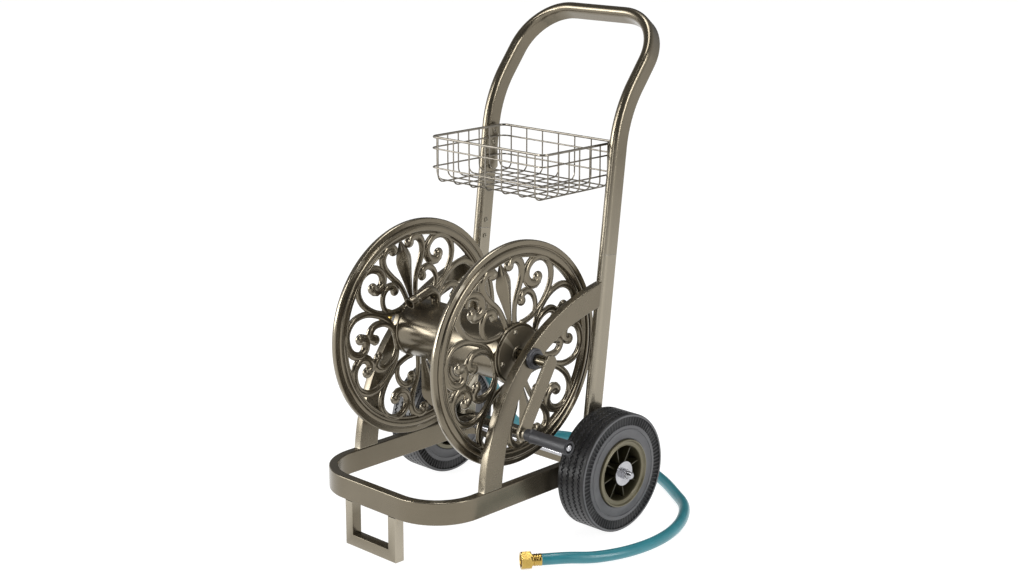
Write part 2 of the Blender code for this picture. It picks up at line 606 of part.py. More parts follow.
def make_hose():
    """Leader hose, with a ferrule and a hexagon swivel nut on its free end."""
    points = smooth_through(HOSE_ROUTE, HOSE_POINTS)
    wire("leader_hose", points, HOSE_RADIUS, 2, hose_green)
    out = ((points[-1] - points[-2]) * Vector((1, 1, 0))).normalized()
    spot = points[-1] + out * GAP
    facing = (out.to_track_quat("X", "Z").to_matrix() @ Matrix.Rotation(math.pi / 2, 3, "Y")).to_euler()
    r, inner = FERRULE_RADIUS, FERRULE_RADIUS - 0.002
    length = FERRULE_LENGTH
    ferrule = turned("hose_ferrule", [(inner, length), (r, length), (r, 0), (inner, 0)],
                     brass, steps=16, ring=True, location=spot)
    nut = hex_nut("hose_swivel_nut", NUT_ACROSS_CORNERS, r + GAP, NUT_LENGTH, location=spot + out * NUT_START)
    nut.data.materials[0] = brass
    ferrule.rotation_euler = nut.rotation_euler = facing


# --- the cart ------------------------------------------------------------------------------------

clear_scene()
parts = new_collection("garden_hose_reel_cart")
tools = new_collection("cutters_and_guides", hidden=True)

bronze = painted("bronze paint", BRONZE, 0.38, 0.6)
dark_bronze = painted("dark bronze paint", DARK_BRONZE, 0.42, 0.5)
zinc = painted("zinc plate", (0.78, 0.78, 0.80), 0.28, 1.0)
zinc_dark = painted("dull zinc", (0.42, 0.41, 0.39), 0.35, 1.0)
steel = painted("bronze plated steel", (0.24, 0.21, 0.16), 0.32, 0.8)
brass = painted("brass", (0.72, 0.55, 0.20), 0.25, 1.0)
tyre_rubber = painted("tyre rubber", (0.03, 0.03, 0.033), 0.75, 0.0)
grip_rubber = painted("grip rubber", (0.035, 0.036, 0.042), 0.6, 0.0)
dark_plastic = painted("dark plastic", (0.05, 0.05, 0.055), 0.5, 0.0)
wire_grey = painted("grey wire", (0.40, 0.38, 0.34), 0.35, 0.8)
hose_green = painted("teal hose", (0.03, 0.22, 0.27), 0.4, 0.0)

make_base()
make_arches()
make_uprights()
make_basket()
make_wheels()
make_reel()
make_crank()
make_bearings()
make_inlet()
make_hose()
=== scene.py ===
"""Garden hose reel cart: its finished surfaces, materials, light and camera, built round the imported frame.

Metres, +Z up. +X is the crank side, -Y the front of the cart and +Y the handle's side.
"""

import math

import bmesh
import bpy
import numpy as np
from mathutils import Matrix, Vector


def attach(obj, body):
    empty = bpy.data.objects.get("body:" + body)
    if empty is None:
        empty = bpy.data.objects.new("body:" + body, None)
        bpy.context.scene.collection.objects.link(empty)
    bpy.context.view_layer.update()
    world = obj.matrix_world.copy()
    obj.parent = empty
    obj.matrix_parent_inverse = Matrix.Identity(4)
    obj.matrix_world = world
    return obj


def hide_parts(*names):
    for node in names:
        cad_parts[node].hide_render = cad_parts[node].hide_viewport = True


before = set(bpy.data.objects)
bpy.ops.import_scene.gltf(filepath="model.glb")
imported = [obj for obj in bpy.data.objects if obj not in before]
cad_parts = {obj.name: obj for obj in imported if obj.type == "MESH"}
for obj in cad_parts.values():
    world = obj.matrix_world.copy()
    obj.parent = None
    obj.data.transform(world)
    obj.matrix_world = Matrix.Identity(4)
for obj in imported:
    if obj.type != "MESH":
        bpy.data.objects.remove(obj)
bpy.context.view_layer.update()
SIDES = (("left", -1), ("right", 1))
ACROSS, UP = np.array((1.0, 0.0, 0.0)), np.array((0.0, 0.0, 1.0))
GAP = 0.0003  # between two pieces that touch

# --- Camera ------------------------------------------------------------------------------------------
# It stands off the cart's front right corner, a little above the reel, with a long lens.

AZIMUTH, ELEVATION = math.radians(44.122), math.radians(14.079)
EYE = (1.9953, -1.7587, 1.1483)

aside = Vector((math.cos(AZIMUTH), math.sin(AZIMUTH), 0))
backwards = Vector((math.sin(AZIMUTH) * math.cos(ELEVATION), -math.cos(AZIMUTH) * math.cos(ELEVATION),
                    math.sin(ELEVATION)))
upwards = backwards.cross(aside)
lens = bpy.data.cameras.new("camera")
lens.lens, lens.sensor_width = 61.56, 36
lens.shift_x, lens.shift_y = 0.0081, -0.0226
camera = bpy.data.objects.new("camera", lens)
camera.matrix_world = Matrix.Translation(EYE) @ Matrix((aside, upwards, backwards)).transposed().to_4x4()
bpy.context.scene.collection.objects.link(camera)
bpy.context.scene.camera = camera

# --- Leader hose -------------------------------------------------------------------------------------
# Reinforced vinyl hose, 19 mm thick. It leaves the brass swivel on the left, comes down over and behind the
# left wheel, and lies on the ground in one loose curve round the cart to its coupling at the front right.

HOSE_RADIUS = 0.0095
HOSE_ROUTE = (
    (-0.190, 0.2540, 0.3058), (-0.1905, 0.285, 0.299), (-0.193, 0.330, 0.283), (-0.197, 0.378, 0.255),
    (-0.200, 0.425, 0.213), (-0.201, 0.464, 0.158), (-0.199, 0.498, 0.098), (-0.193, 0.530, 0.049),
    (-0.181, 0.562, 0.022), (-0.160, 0.592, 0.0110), (-0.119, 0.6135, 0.0100), (-0.045, 0.617, 0.0100),
    (0.030, 0.603, 0.0100), (0.095, 0.582, 0.0100), (0.150, 0.5575, 0.0100), (0.203, 0.525, 0.0100),
    (0.2535, 0.488, 0.0100), (0.2895, 0.437, 0.0100), (0.3110, 0.381, 0.0100), (0.3175, 0.323, 0.0100),
    (0.3095, 0.266, 0.0100), (0.2905, 0.214, 0.0115), (0.2665, 0.173, 0.0158), (0.2415, 0.139, 0.0160),
)


class Socket:
    """A shader socket in arithmetic: each operator adds the Math node that it names."""

    def __init__(self, finish, link):
        self.finish, self.link = finish, link

    def math(self, operation, *values):
        return self.finish.node("Math", {"operation": operation}, values)

    def __add__(self, other):
        return self.math("ADD", self, other)

    def __sub__(self, other):
        return self.math("SUBTRACT", self, other)

    def __rsub__(self, other):
        return self.math("SUBTRACT", other, self)

    def __mul__(self, other):
        return self.math("MULTIPLY", self, other)

    __radd__, __rmul__ = __add__, __mul__

    def clipped(self):
        """The value, held between 0 and 1."""
        return self.finish.node("Clamp", {}, (self,))


class Finish:
    """A node material. Its even values are set on the shader's own sockets, and node() adds what varies."""

    def __init__(self, name, **even):
        self.material = bpy.data.materials.new(name)
        self.material.use_nodes = True
        self.tree = self.material.node_tree
        self.shader = self.tree.nodes["Principled BSDF"]
        for socket, value in even.items():
            self.shader.inputs[socket.replace("_", " ")].default_value = value

    def node(self, kind, settings, sockets, output=0):
        """Adds a node of this type: its settings first, then its sockets, by place or by name."""
        made = self.tree.nodes.new("ShaderNode" + kind)
        for key, value in settings.items():
            setattr(made, key, value)
        named = sockets.items() if isinstance(sockets, dict) else enumerate(sockets)
        for key, value in named:
            self.join(made.inputs[key], value)
        return Socket(self, made.outputs[output])

    def join(self, socket, value):
        """Links a socket to another, or gives it a number or a colour."""
        if isinstance(value, Socket):
            self.tree.links.new(value.link, socket)
        elif isinstance(value, tuple) and len(value) == 3 and socket.type == "RGBA":
            socket.default_value = (*value, 1)
        else:
            socket.default_value = value

    def vary(self, socket, value):
        self.join(self.shader.inputs[socket], value)

    def object_noise(self, scale, detail=3.0):
        """Noise through the object's own space."""
        place = self.node("TexCoord", {}, {}, output=3)
        return self.node("TexNoise", {}, {"Vector": place, "Scale": scale, "Detail": detail})

    def lay(self):
        """The surface's own attribute: a point's place in the section, and how far along the bar it is."""
        return self.node("Attribute", {"attribute_name": "lay"}, {}, output=1)

    def lay_noise(self, across, along, scale=1.0):
        """Noise on the attribute lay: fine across a bar's section, drawn out along the bar."""
        lay = self.node("Mapping", {}, {"Vector": self.lay(), "Scale": (across, across, along)})
        return self.node("TexNoise", {}, {"Vector": lay, "Scale": scale, "Detail": 2.0})

    def ramp(self, value, start, end, top=1.0):
        """0 where the value is at start, rising evenly to top where it is at end, and level beyond both."""
        return self.node("MapRange", {}, {0: value, 1: start, 2: end, 3: 0.0, 4: top})

    def mix(self, factor, first, second):
        """A colour between two colours."""
        return self.node("Mix", {"data_type": "RGBA"}, {0: factor, 6: first, 7: second}, output=2)

    def bump(self, height, distance, strength):
        normal = self.node("Bump", {}, {"Height": height, "Distance": distance, "Strength": strength})
        self.vary("Normal", normal)


def smooth_route(points, count):
    """Evenly spaced points on a Catmull-Rom curve: between two points, half the cubic whose tangents at each
    of them are parallel to the line between their neighbours."""
    p = np.array(points, float)
    p = np.vstack([2 * p[0] - p[1], p, 2 * p[-1] - p[-2]])
    t = np.linspace(0, 1, 16, endpoint=False)[None, :, None]
    a, b, c, d = (p[i:len(p) - 3 + i][:, None] for i in range(4))
    fine = 0.5 * (2 * b + (c - a) * t + (2 * a - 5 * b + 4 * c - d) * t ** 2 + (3 * b - a - 3 * c + d) * t ** 3)
    fine = np.vstack([fine.reshape(-1, p.shape[1]), p[-2]])
    return evenly(fine, count)


def evenly(line, count):
    """The line again, with this many points at equal steps along it."""
    along = np.concatenate([[0], np.cumsum(np.linalg.norm(np.diff(line, axis=0), axis=1))])
    at = np.linspace(0, along[-1], count)
    return np.stack([np.interp(at, along, line[:, k]) for k in range(line.shape[1])], axis=1)


def unit(vectors):
    return vectors / np.linalg.norm(vectors, axis=-1, keepdims=True)


def tangents(path, closed=False):
    """Unit directions along a path, from each point's neighbours."""
    if closed:
        return unit(np.roll(path, -1, axis=0) - np.roll(path, 1, axis=0))
    return unit(np.gradient(path, axis=0))


def circle(radius, count):
    """Points at equal angles round the middle."""
    angle = np.arange(count) * 2 * math.pi / count
    return radius * np.stack([np.cos(angle), np.sin(angle)], axis=1)


class Shell:
    """Closed surfaces that become one piece. Each is a grid of points, turned so that it faces outwards.

    The point attribute lay says where a point is on its own bar or disc: its place in the section, and how far
    along it is."""

    def __init__(self):
        self.points, self.lays, self.faces, self.count = [], [], [], 0

    def grid(self, points, lay, ring=False):
        """Adds a grid whose columns run round. Its rows close too in a ring, else both ends are capped."""
        rows, columns = points.shape[:2]
        i = np.arange(rows if ring else rows - 1)[:, None]
        j = np.arange(columns)[None]
        after = (j + 1) % columns
        quads = np.stack([i * columns + j, i * columns + after, (i + 1) % rows * columns + after,
                          (i + 1) % rows * columns + j], axis=-1).reshape(-1, 4)
        flat = points.reshape(-1, 3)
        q = flat[quads] - flat.mean(axis=0)
        volume = (np.cross(q[:, 0], q[:, 1]) * q[:, 2]).sum() + (np.cross(q[:, 0], q[:, 2]) * q[:, 3]).sum()
        faces = quads.tolist()
        if not ring:
            ends = [list(range(columns))[::-1], list(range((rows - 1) * columns, rows * columns))]
            for end in ends:
                r = flat[end] - flat.mean(axis=0)
                volume += (np.cross(r[0], r[1:-1]) * r[2:]).sum()
            faces += ends
        if volume < 0:
            faces = [face[::-1] for face in faces]
        self.faces += [[index + self.count for index in face] for face in faces]
        self.points.append(flat)
        self.lays.append(np.broadcast_to(lay, points.shape).reshape(-1, 3))
        self.count += len(flat)
        return self

    def piece(self, name, finish, body, slot, node, sharp=38):
        """Makes the mesh, closes its poles, and hangs the piece on its body in place of the CAD node."""
        mesh = bpy.data.meshes.new(name)
        mesh.from_pydata(np.vstack(self.points).tolist(), [], self.faces)
        attribute = mesh.attributes.new("lay", "FLOAT_VECTOR", "POINT")
        attribute.data.foreach_set("vector", np.vstack(self.lays).astype(np.float32).ravel())
        bm = bmesh.new()
        bm.from_mesh(mesh)
        bmesh.ops.remove_doubles(bm, verts=bm.verts, dist=2e-7)
        bm.to_mesh(mesh)
        bm.free()
        mesh.shade_smooth()
        mesh.set_sharp_from_angle(angle=math.radians(sharp))
        mesh.materials.append(finish.material)
        obj = bpy.data.objects.new(name, mesh)
        bpy.context.scene.collection.objects.link(obj)
        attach(obj, body)
        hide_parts(node)
        return obj


def swept(path, section, side, front, scale=None):
    """Carries a section (m, 2) along a path (n, 3): point = path + side * x * scale + front * y * scale."""
    side, front = (np.broadcast_to(way, path.shape) for way in (side, front))
    scale = np.ones(len(path)) if scale is None else scale
    s = section[None] * scale[:, None, None]
    points = path[:, None] + side[:, None] * s[..., :1] + front[:, None] * s[..., 1:]
    along = np.concatenate([[0], np.cumsum(np.linalg.norm(np.diff(path, axis=0), axis=1))])
    lay = np.concatenate([s, np.broadcast_to(along[:, None, None], (*s.shape[:2], 1))], axis=-1)
    return points, lay


def round_bar(path, radius, sides):
    """A round bar along a path that nowhere runs straight up."""
    along = tangents(path)
    side = unit(np.cross(along, UP))
    return swept(path, circle(radius, sides), side, np.cross(side, along))


hose_line = smooth_route(HOSE_ROUTE, 420)
hose_finish = Finish("hose vinyl", Roughness=0.34, Coat_Weight=0.35, Coat_Roughness=0.18)
ribs = hose_finish.lay_noise(1, 0.02, 900.0)
mottle = hose_finish.object_noise(35.0)
hose_finish.vary("Base Color", hose_finish.mix((ribs * 0.6 + mottle * 0.5).clipped(), (0.008, 0.120, 0.150),
                                               (0.030, 0.245, 0.290)))
hose_finish.vary("Roughness", ribs * 0.2 + 0.24)
hose_finish.bump(ribs, 0.0004, 0.5)
hose = Shell().grid(*round_bar(hose_line, HOSE_RADIUS, 28))
hose = hose.piece("hose", hose_finish, "cart", "teal_hose", "leader_hose")

# --- Brass fittings of the hose ----------------------------------------------------------------------
# At the free end a crimped ferrule holds the hexagon swivel nut that screws to the tap. At the other end a
# round knurled nut screws to the water inlet. All are turned from bar.

FERRULE_RADIUS, FERRULE_LENGTH = 0.0099, 0.0215
NUT_START, NUT_LENGTH, NUT_CORNER = 0.0168, 0.0165, 0.0155


def lathe(profile, steps, start, axis, wall=False, reshape=None):
    """Spins a profile of (distance along the axis, radius) pairs about the axis through start. reshape(angle,
    along, radius) may move its points, as for a hexagon. A wall profile is a closed ring, so it has a bore."""
    profile = np.array(profile, float)
    axis = unit(np.array(axis, float))
    side = unit(np.cross(axis, UP))
    front = np.cross(side, axis)
    angle, along = np.meshgrid(np.arange(steps) * 2 * math.pi / steps, profile[:, 0])
    radius = np.broadcast_to(profile[:, 1:], along.shape)
    if reshape:
        along, radius = reshape(angle, along, radius)
    points = (np.array(start, float) + along[..., None] * axis
              + radius[..., None] * (np.cos(angle)[..., None] * side + np.sin(angle)[..., None] * front))
    lay = np.stack([radius, along, 0.01 * np.sin(angle)], axis=-1)
    return points, lay, wall


def turned(name, finish, body, slot, node, profile, steps, start, axis, wall=True, reshape=None, sharp=38):
    """A piece that is one turned shape."""
    shape = Shell().grid(*lathe(profile, steps, start, axis, wall, reshape))
    return shape.piece(name, finish, body, slot, node, sharp)


def fillet(corners, radii, closed=False, steps=4, easing=0.0003):
    """A line with its corners rounded: each arc touches both edges at radius / tan(half the angle) from the
    corner. A point just outside each arc keeps the flat stretches flat when they are shaded smooth."""
    corners = np.array(corners, float)
    count = len(corners)
    radii = np.broadcast_to(radii, count)
    points = []
    for i, corner in enumerate(corners):
        if (not closed and i in (0, count - 1)) or radii[i] <= 0:
            points.append(corner)
            continue
        before, after = corners[i - 1] - corner, corners[(i + 1) % count] - corner
        lengths = np.linalg.norm(before), np.linalg.norm(after)
        before, after = before / lengths[0], after / lengths[1]
        half = math.acos(np.clip(before @ after, -1, 1)) / 2
        if half > 1.56:
            points.append(corner)
            continue
        reach = min(radii[i] / math.tan(half), 0.46 * min(lengths))
        radius = reach * math.tan(half)
        centre = corner + unit(before + after) * radius / math.sin(half)
        start, end = corner + before * reach - centre, corner + after * reach - centre
        sweep = math.pi - 2 * half
        t = np.linspace(0, 1, steps + 1)[:, None]
        arc = centre + (start * np.sin((1 - t) * sweep) + end * np.sin(t * sweep)) / math.sin(sweep)
        ease = min(easing, 0.03 * min(lengths))
        points += [corner + before * (reach + ease), *arc, corner + after * (reach + ease)]
    return np.array(points)


def hexagon(corner):
    """Reshapes a turned nut: its outer skin is the nearer of the hexagon's flats and the turned profile."""
    def reshape(angle, along, radius):
        flat = corner * math.cos(math.pi / 6) / np.cos((angle + math.pi / 6) % (math.pi / 3) - math.pi / 6)
        outer = radius > corner * 0.8
        return along, np.where(outer, np.minimum(radius, flat), radius)
    return reshape


def metal(name, colour, dark, roughness, streak=900.0):
    """A bare or plated metal, with turning marks and slight patches of tarnish."""
    finish = Finish(name, Metallic=1.0)
    marks = finish.lay_noise(streak, 6.0)
    patches = finish.object_noise(60.0)
    finish.vary("Base Color", finish.mix((patches * 0.9 - 0.2 + marks * 0.3).clipped(), dark, colour))
    finish.vary("Roughness", marks * 0.16 + (roughness - 0.08))
    finish.bump(marks, 0.0001, 0.25)
    return finish


brass = metal("bright brass", (0.70, 0.50, 0.15), (0.38, 0.25, 0.06), 0.24)
hose_end = hose_line[-1]
outwards = unit(tangents(hose_line)[-1] * (1, 1, 0))

outer, inner, crimped = FERRULE_RADIUS, FERRULE_RADIUS - 0.002, FERRULE_RADIUS - 0.0007
bands = [(0, inner), (0, outer)]
for place in (0.004, 0.008, 0.012):
    bands += [(place, outer), (place + 0.0006, crimped), (place + 0.0014, crimped), (place + 0.002, outer)]
bands += [(FERRULE_LENGTH, outer), (FERRULE_LENGTH, inner)]
ferrule = turned("ferrule", brass, "cart", "brass", "hose_ferrule", fillet(bands, 0.0003, True, 2, 0), 48,
                 hose_end, outwards)

start, end, corner, bore = NUT_START, NUT_START + NUT_LENGTH, NUT_CORNER, FERRULE_RADIUS + 0.0004
profile = [(start, bore), (start, corner * 0.90), (start + 0.0022, corner), (end - 0.0022, corner),
           (end, corner * 0.90), (end, bore + 0.0012), (end - 0.0008, bore), (start + 0.007, bore)]
swivel_nut = turned("swivel_nut", brass, "supply_nut", "brass", "hose_swivel_nut",
                    fillet(profile, 0.0004, True, 2, 0), 96, hose_end, outwards, reshape=hexagon(corner))

inlet_start = np.array(HOSE_ROUTE[0])
inlet_way = unit(np.array(HOSE_ROUTE[1]) - inlet_start)


def knurl(angle, along, radius):
    """Shallow ridges all round the nut's grip."""
    return along, radius + np.where(radius > 0.0145, 0.0003 * np.sign(np.sin(angle * 30)), 0)


profile = fillet([(0, 0.0), (0, 0.0150), (0.0143, 0.0150), (0.0143, 0.0)], (0, 0.0012, 0.0012, 0), steps=3)
inlet_nut = turned("inlet_nut", brass, "cart", "brass", "hose_nut_inlet", profile, 120,
                   inlet_start - inlet_way * 0.0148, inlet_way, False, knurl)

# --- Base loop and front foot ------------------------------------------------------------------------
# Flat steel bar on edge, bent into one loop with wide front corners, and a square U of bar welded under its
# front as a foot. Both have the cart's antique bronze paint.

HALF_WIDTH, BAR_THICKNESS = 0.157, 0.0155
BASE_BOTTOM, BASE_TOP = 0.077, 0.115
BASE_FRONT, BASE_REAR = -0.0095, 0.3775
FRONT_CORNER, REAR_CORNER = 0.090, 0.030
FOOT_HALF_WIDTH, FOOT_DEPTH, FOOT_LEG, FOOT_BAR = 0.060, 0.019, 0.017, 0.0195
# The third paint colour, a pale cream, is a painted highlight for sharp outward edges.
PAINT, PAINT_DEEP, PAINT_EDGE_HIGHLIGHT = (0.195, 0.168, 0.122), (0.140, 0.118, 0.082), (0.56, 0.51, 0.41)


def bronze_paint(name, drawn=(700.0, 5.0), roughness=0.24, edge_highlight_level=0.55):
    """Metallic bronze paint: drawn marks run along the bar, the colour drifts in soft patches, and a painted
    highlight turns it pale cream where the surface bends sharply outwards."""
    finish = Finish(name, Metallic=0.86, Coat_Weight=0.15, Coat_Roughness=0.12)
    marks = finish.lay_noise(*drawn)
    patches = finish.object_noise(18.0)
    grain = finish.object_noise(900.0, 1.0)
    # Painted highlight: pointiness turns sharp outward edges towards the pale cream, up to the given level.
    edge = finish.ramp(finish.node("NewGeometry", {}, {}, output=7), 0.52, 0.60, edge_highlight_level)
    body = finish.mix((marks * 0.25 + patches * 0.75).clipped(), PAINT_DEEP, PAINT)
    finish.vary("Base Color", finish.mix(edge, body, PAINT_EDGE_HIGHLIGHT))
    finish.vary("Roughness", marks * 0.05 + patches * 0.08 + (roughness - 0.07))
    finish.bump(marks * 0.4 + grain * 0.6, 0.00003, 0.12)
    return finish


paint = bronze_paint("bronze paint")


def loop_path(x, front, rear, front_radius, rear_radius, z, steps=20):
    """A rectangle with rounded corners, at one height."""
    corners = [(x, front, z), (x, rear, z), (-x, rear, z), (-x, front, z)]
    return fillet(corners, (front_radius, rear_radius, rear_radius, front_radius), True, steps, 0.004)


half = BAR_THICKNESS / 2
loop = loop_path(HALF_WIDTH - half, BASE_FRONT + half, BASE_REAR - half, FRONT_CORNER - half,
                 REAR_CORNER - half, (BASE_BOTTOM + BASE_TOP) / 2)
high = (BASE_TOP - BASE_BOTTOM) / 2
bar_section = fillet([(-half, -high), (half, -high), (half, high), (-half, high)], 0.0016, True, 4)
base_loop = Shell().grid(*swept(loop, bar_section, np.cross(tangents(loop, True), UP), UP), True)
base_loop.piece("base_loop", paint, "cart", "bronze_paint", "base_frame")


def slab(outline, depth, edge, centre, first, second):
    """A flat plate with rounded edges. Rows of the outline are drawn in by edge * (1 - sin a) at a height of
    depth / 2 - edge * (1 - cos a), for a from the plate's face to its side and back to the other face."""
    ahead, behind = np.roll(outline, -1, axis=0) - outline, outline - np.roll(outline, 1, axis=0)
    turned = [unit(np.stack([e[:, 1], -e[:, 0]], axis=1)) for e in (behind, ahead)]
    inwards = -(turned[0] + turned[1]) / (1 + (turned[0] * turned[1]).sum(axis=1, keepdims=True))
    area = (outline[:, 0] * np.roll(outline[:, 1], -1) - np.roll(outline[:, 0], -1) * outline[:, 1]).sum()
    inwards *= np.sign(area)
    a = np.linspace(0, math.pi / 2, 4)
    draw = np.concatenate([[edge * 1.3], edge * (1 - np.sin(a))])
    height = np.concatenate([[depth / 2], depth / 2 - edge * (1 - np.cos(a))])
    draw, height = np.concatenate([draw, draw[::-1]]), np.concatenate([height, -height[::-1]])
    flat = outline[None] + inwards[None] * draw[:, None, None]
    normal = np.cross(first, second)
    points = centre + flat[..., :1] * first + flat[..., 1:] * second + height[:, None, None] * normal
    lay = np.concatenate([flat, np.broadcast_to(height[:, None, None], (*flat.shape[:2], 1))], axis=-1)
    return points, lay


w, leg, top = FOOT_HALF_WIDTH, FOOT_LEG, BASE_BOTTOM - 0.0002
outside = np.array([(-w, 0, top), (-w, 0, 0), (w, 0, 0), (w, 0, top)])
inside = np.array([(leg - w, 0, top), (leg - w, 0, FOOT_BAR), (w - leg, 0, FOOT_BAR), (w - leg, 0, top)])
foot_section = fillet([(0, -0.5), (1, -0.5), (1, 0.5), (0, 0.5)], 0.05, True, 3, 0)
foot = (outside[:, None] + (inside - outside)[:, None] * foot_section[None, :, :1]
        + np.array((0, FOOT_DEPTH, 0)) * foot_section[None, :, 1:])
inwards = 0 * foot[..., 0] + foot_section[:, 0] * leg
foot = Shell().grid(foot, np.stack([inwards, foot[..., 1], foot[..., 2] + foot[..., 0]], axis=-1))
foot.piece("foot_bracket", bronze_paint("foot paint", (90.0, 8.0)), "cart", "bronze_paint", "front_foot")

# --- Side arches -------------------------------------------------------------------------------------
# Curved flat bars cut from plate, from the base up and back to the uprights. Each holds a bush in which the
# reel turns.

ARCH_OUTER = ((0.0959, 0.1153), (0.1144, 0.3107), (0.2490, 0.3859), (0.3759, 0.4115))
ARCH_INNER = ((0.1367, 0.1153), (0.1511, 0.2527), (0.2040, 0.3405), (0.3709, 0.3705))
REEL = np.array((0.0, 0.2085, 0.317))


def bezier(controls, count):
    """Points of a cubic Bezier curve: each control weighted by its Bernstein polynomial."""
    t = np.linspace(0, 1, count)[:, None]
    p = np.array(controls, float)
    return p[0] * (1 - t) ** 3 + 3 * p[1] * t * (1 - t) ** 2 + 3 * p[2] * t ** 2 * (1 - t) + p[3] * t ** 3


arch_paint = bronze_paint("arch paint", (60.0, 3.0), 0.28)
arch_outline = np.vstack([bezier(ARCH_OUTER, 46), bezier(ARCH_INNER, 46)[::-1]])
for name, side_of in SIDES:
    x = side_of * (HALF_WIDTH - BAR_THICKNESS / 2)
    arch = Shell().grid(*slab(arch_outline, BAR_THICKNESS, 0.0014, (x, 0, 0), (0, 1, 0), UP))
    arch.piece("arch_" + name, arch_paint, "cart", "bronze_paint", "side_arch_" + name)

# --- Uprights and handle -----------------------------------------------------------------------------
# D-section steel tube, rounded to the front: two lower legs and one bent handle, joined over sleeves by two
# screws a side.

TUBE_HALF_WIDTH, TUBE_HALF_DEPTH = 0.0095, 0.0155
UPRIGHT_FOOT_Y, LOWER_LEAN, UPPER_LEAN = 0.3559, 0.1225, 0.787
BEND_HEIGHT, BEND_RADIUS, HANDLE_TOP, HANDLE_CORNER = 0.688, 0.200, 0.8366, 0.090
SEAM_HEIGHT = 0.4555


def upright_y(z):
    return UPRIGHT_FOOT_Y + LOWER_LEAN * (z - BASE_TOP)


def d_section():
    """Outline of the tube: a flat back with small corners, flat sides, and a rounded front."""
    w, d = TUBE_HALF_WIDTH, TUBE_HALF_DEPTH
    a = np.linspace(0, math.pi, 17)
    front = np.stack([w * np.cos(a), d * 0.35 + d * 0.65 * np.sin(a)], axis=1)
    back = fillet([(-w, 0.3 * d), (-w, -d), (w, -d), (w, 0.3 * d)], (0, 0.0018, 0.0018, 0), steps=3)
    return np.vstack([front, back])


def leaning_frame(path):
    """Side and front directions of the tube: the front is square to the way that the tube leans, with no share
    of X in it, and the side is square to both."""
    along = tangents(path)
    lean = along * (0, 1, 1)
    steepest = unit(np.array((0.0, UPPER_LEAN, 1.0)))
    long_enough = (np.linalg.norm(lean, axis=1) > 0.9)[:, None] & (path[:, 2:] < HANDLE_TOP - HANDLE_CORNER)
    lean = unit(np.where(long_enough, lean * np.sign(lean[:, 2:]), steepest))
    front = np.stack([0 * lean[:, 0], -lean[:, 2], lean[:, 1]], axis=1)
    return unit(np.cross(along, front)), front


tube_paint = bronze_paint("tube paint", (420.0, 4.0), 0.22, 0.4)
x = HALF_WIDTH - TUBE_HALF_WIDTH
bend_y = upright_y(BEND_HEIGHT)
top_y = bend_y + UPPER_LEAN * (HANDLE_TOP - BEND_HEIGHT)
seam = SEAM_HEIGHT + GAP
handle_corners = [(-x, upright_y(seam), seam), (-x, bend_y, BEND_HEIGHT), (-x, top_y, HANDLE_TOP),
                  (x, top_y, HANDLE_TOP), (x, bend_y, BEND_HEIGHT), (x, upright_y(seam), seam)]
handle_path = fillet(handle_corners, (0, BEND_RADIUS, HANDLE_CORNER, HANDLE_CORNER, BEND_RADIUS, 0), steps=22,
                     easing=0.002)
side, front = leaning_frame(handle_path)
handle = Shell().grid(*swept(handle_path, d_section(), side, front))
handle.piece("handle_tube", tube_paint, "cart", "bronze_paint", "handle")
foot_z = BASE_TOP + GAP + LOWER_LEAN * TUBE_HALF_DEPTH
for name, side_of in SIDES:
    path = np.array([(side_of * x, upright_y(z), z) for z in (foot_z, SEAM_HEIGHT - GAP)])
    side, front = leaning_frame(path)
    leg = Shell().grid(*swept(path, d_section(), side, front))
    leg.piece("leg_tube_" + name, tube_paint, "cart", "bronze_paint", "lower_upright_" + name)

# --- Screws ------------------------------------------------------------------------------------------
# Pan-head screws with a cross recess, plated dull: at the splices, the basket brackets and the hub plates.

SCREW_HEAD, SCREW_RISE = 0.0045, 0.0024
SPLICE_SCREWS, BASKET_SCREWS, BRACKET_THICKNESS = (0.4414, 0.4695), (0.609, 0.6285), 0.002
dull_zinc = metal("dull plating", (0.42, 0.38, 0.30), (0.20, 0.18, 0.14), 0.34)


def cross_recess(angle, along, radius):
    """Sinks a cross 1.1 mm deep, whose arms are 1.1 mm wide, into the middle of a head."""
    narrow = np.minimum(abs(radius * np.cos(angle)), abs(radius * np.sin(angle))) < 0.00055
    return along - 0.0011 * (narrow & (radius < 0.0024) & (along > 0.0002)), radius


def screw(name, place, way, body):
    """A domed head, of height = 0.85 * rise * sqrt(1 - (r / R)^2) above its rim, and a short shank."""
    out = np.linspace(0, 1, 15)
    profile = [(SCREW_RISE * math.sqrt(max(1 - k * k, 0)) * 0.85, SCREW_HEAD * k) for k in out]
    profile += [(-0.0001, SCREW_HEAD), (-0.0001, 0.0022), (-0.006, 0.0022), (-0.006, 0)]
    turned(name + "_head", dull_zinc, body, "dull_zinc", name, profile, 64, place, way, False, cross_recess)


inner_face = HALF_WIDTH - 2 * TUBE_HALF_WIDTH
bracket_face = inner_face - GAP - BRACKET_THICKNESS
for name, side_of in SIDES:
    for kind, face, heights in (("splice", inner_face, SPLICE_SCREWS), ("basket", bracket_face, BASKET_SCREWS)):
        for level, z in zip(("lower", "upper"), heights):
            screw(f"{kind}_screw_{name}_{level}", (side_of * (face - GAP), upright_y(z), z),
                  (-side_of, 0, 0), "cart")

# --- Wire basket -------------------------------------------------------------------------------------
# Bronze-plated wire: a thick top rim, two thinner rings, and U-shaped wires both ways that make the floor and
# the walls, all spot-welded. Two strap brackets screw it to the handle.

BASKET_HALF_WIDTH, BASKET_FRONT, BASKET_REAR = 0.1325, 0.2570, 0.4390
BASKET_BOTTOM, BASKET_TOP = 0.560, 0.640
RIM_WIRE, WIRE = 0.0022, 0.0013
wire_plate = metal("plated wire", (0.36, 0.33, 0.28), (0.16, 0.145, 0.12), 0.30, 500.0)
basket = Shell()
middle_y = (BASKET_FRONT + BASKET_REAR) / 2
depth_y = (BASKET_REAR - BASKET_FRONT) / 2


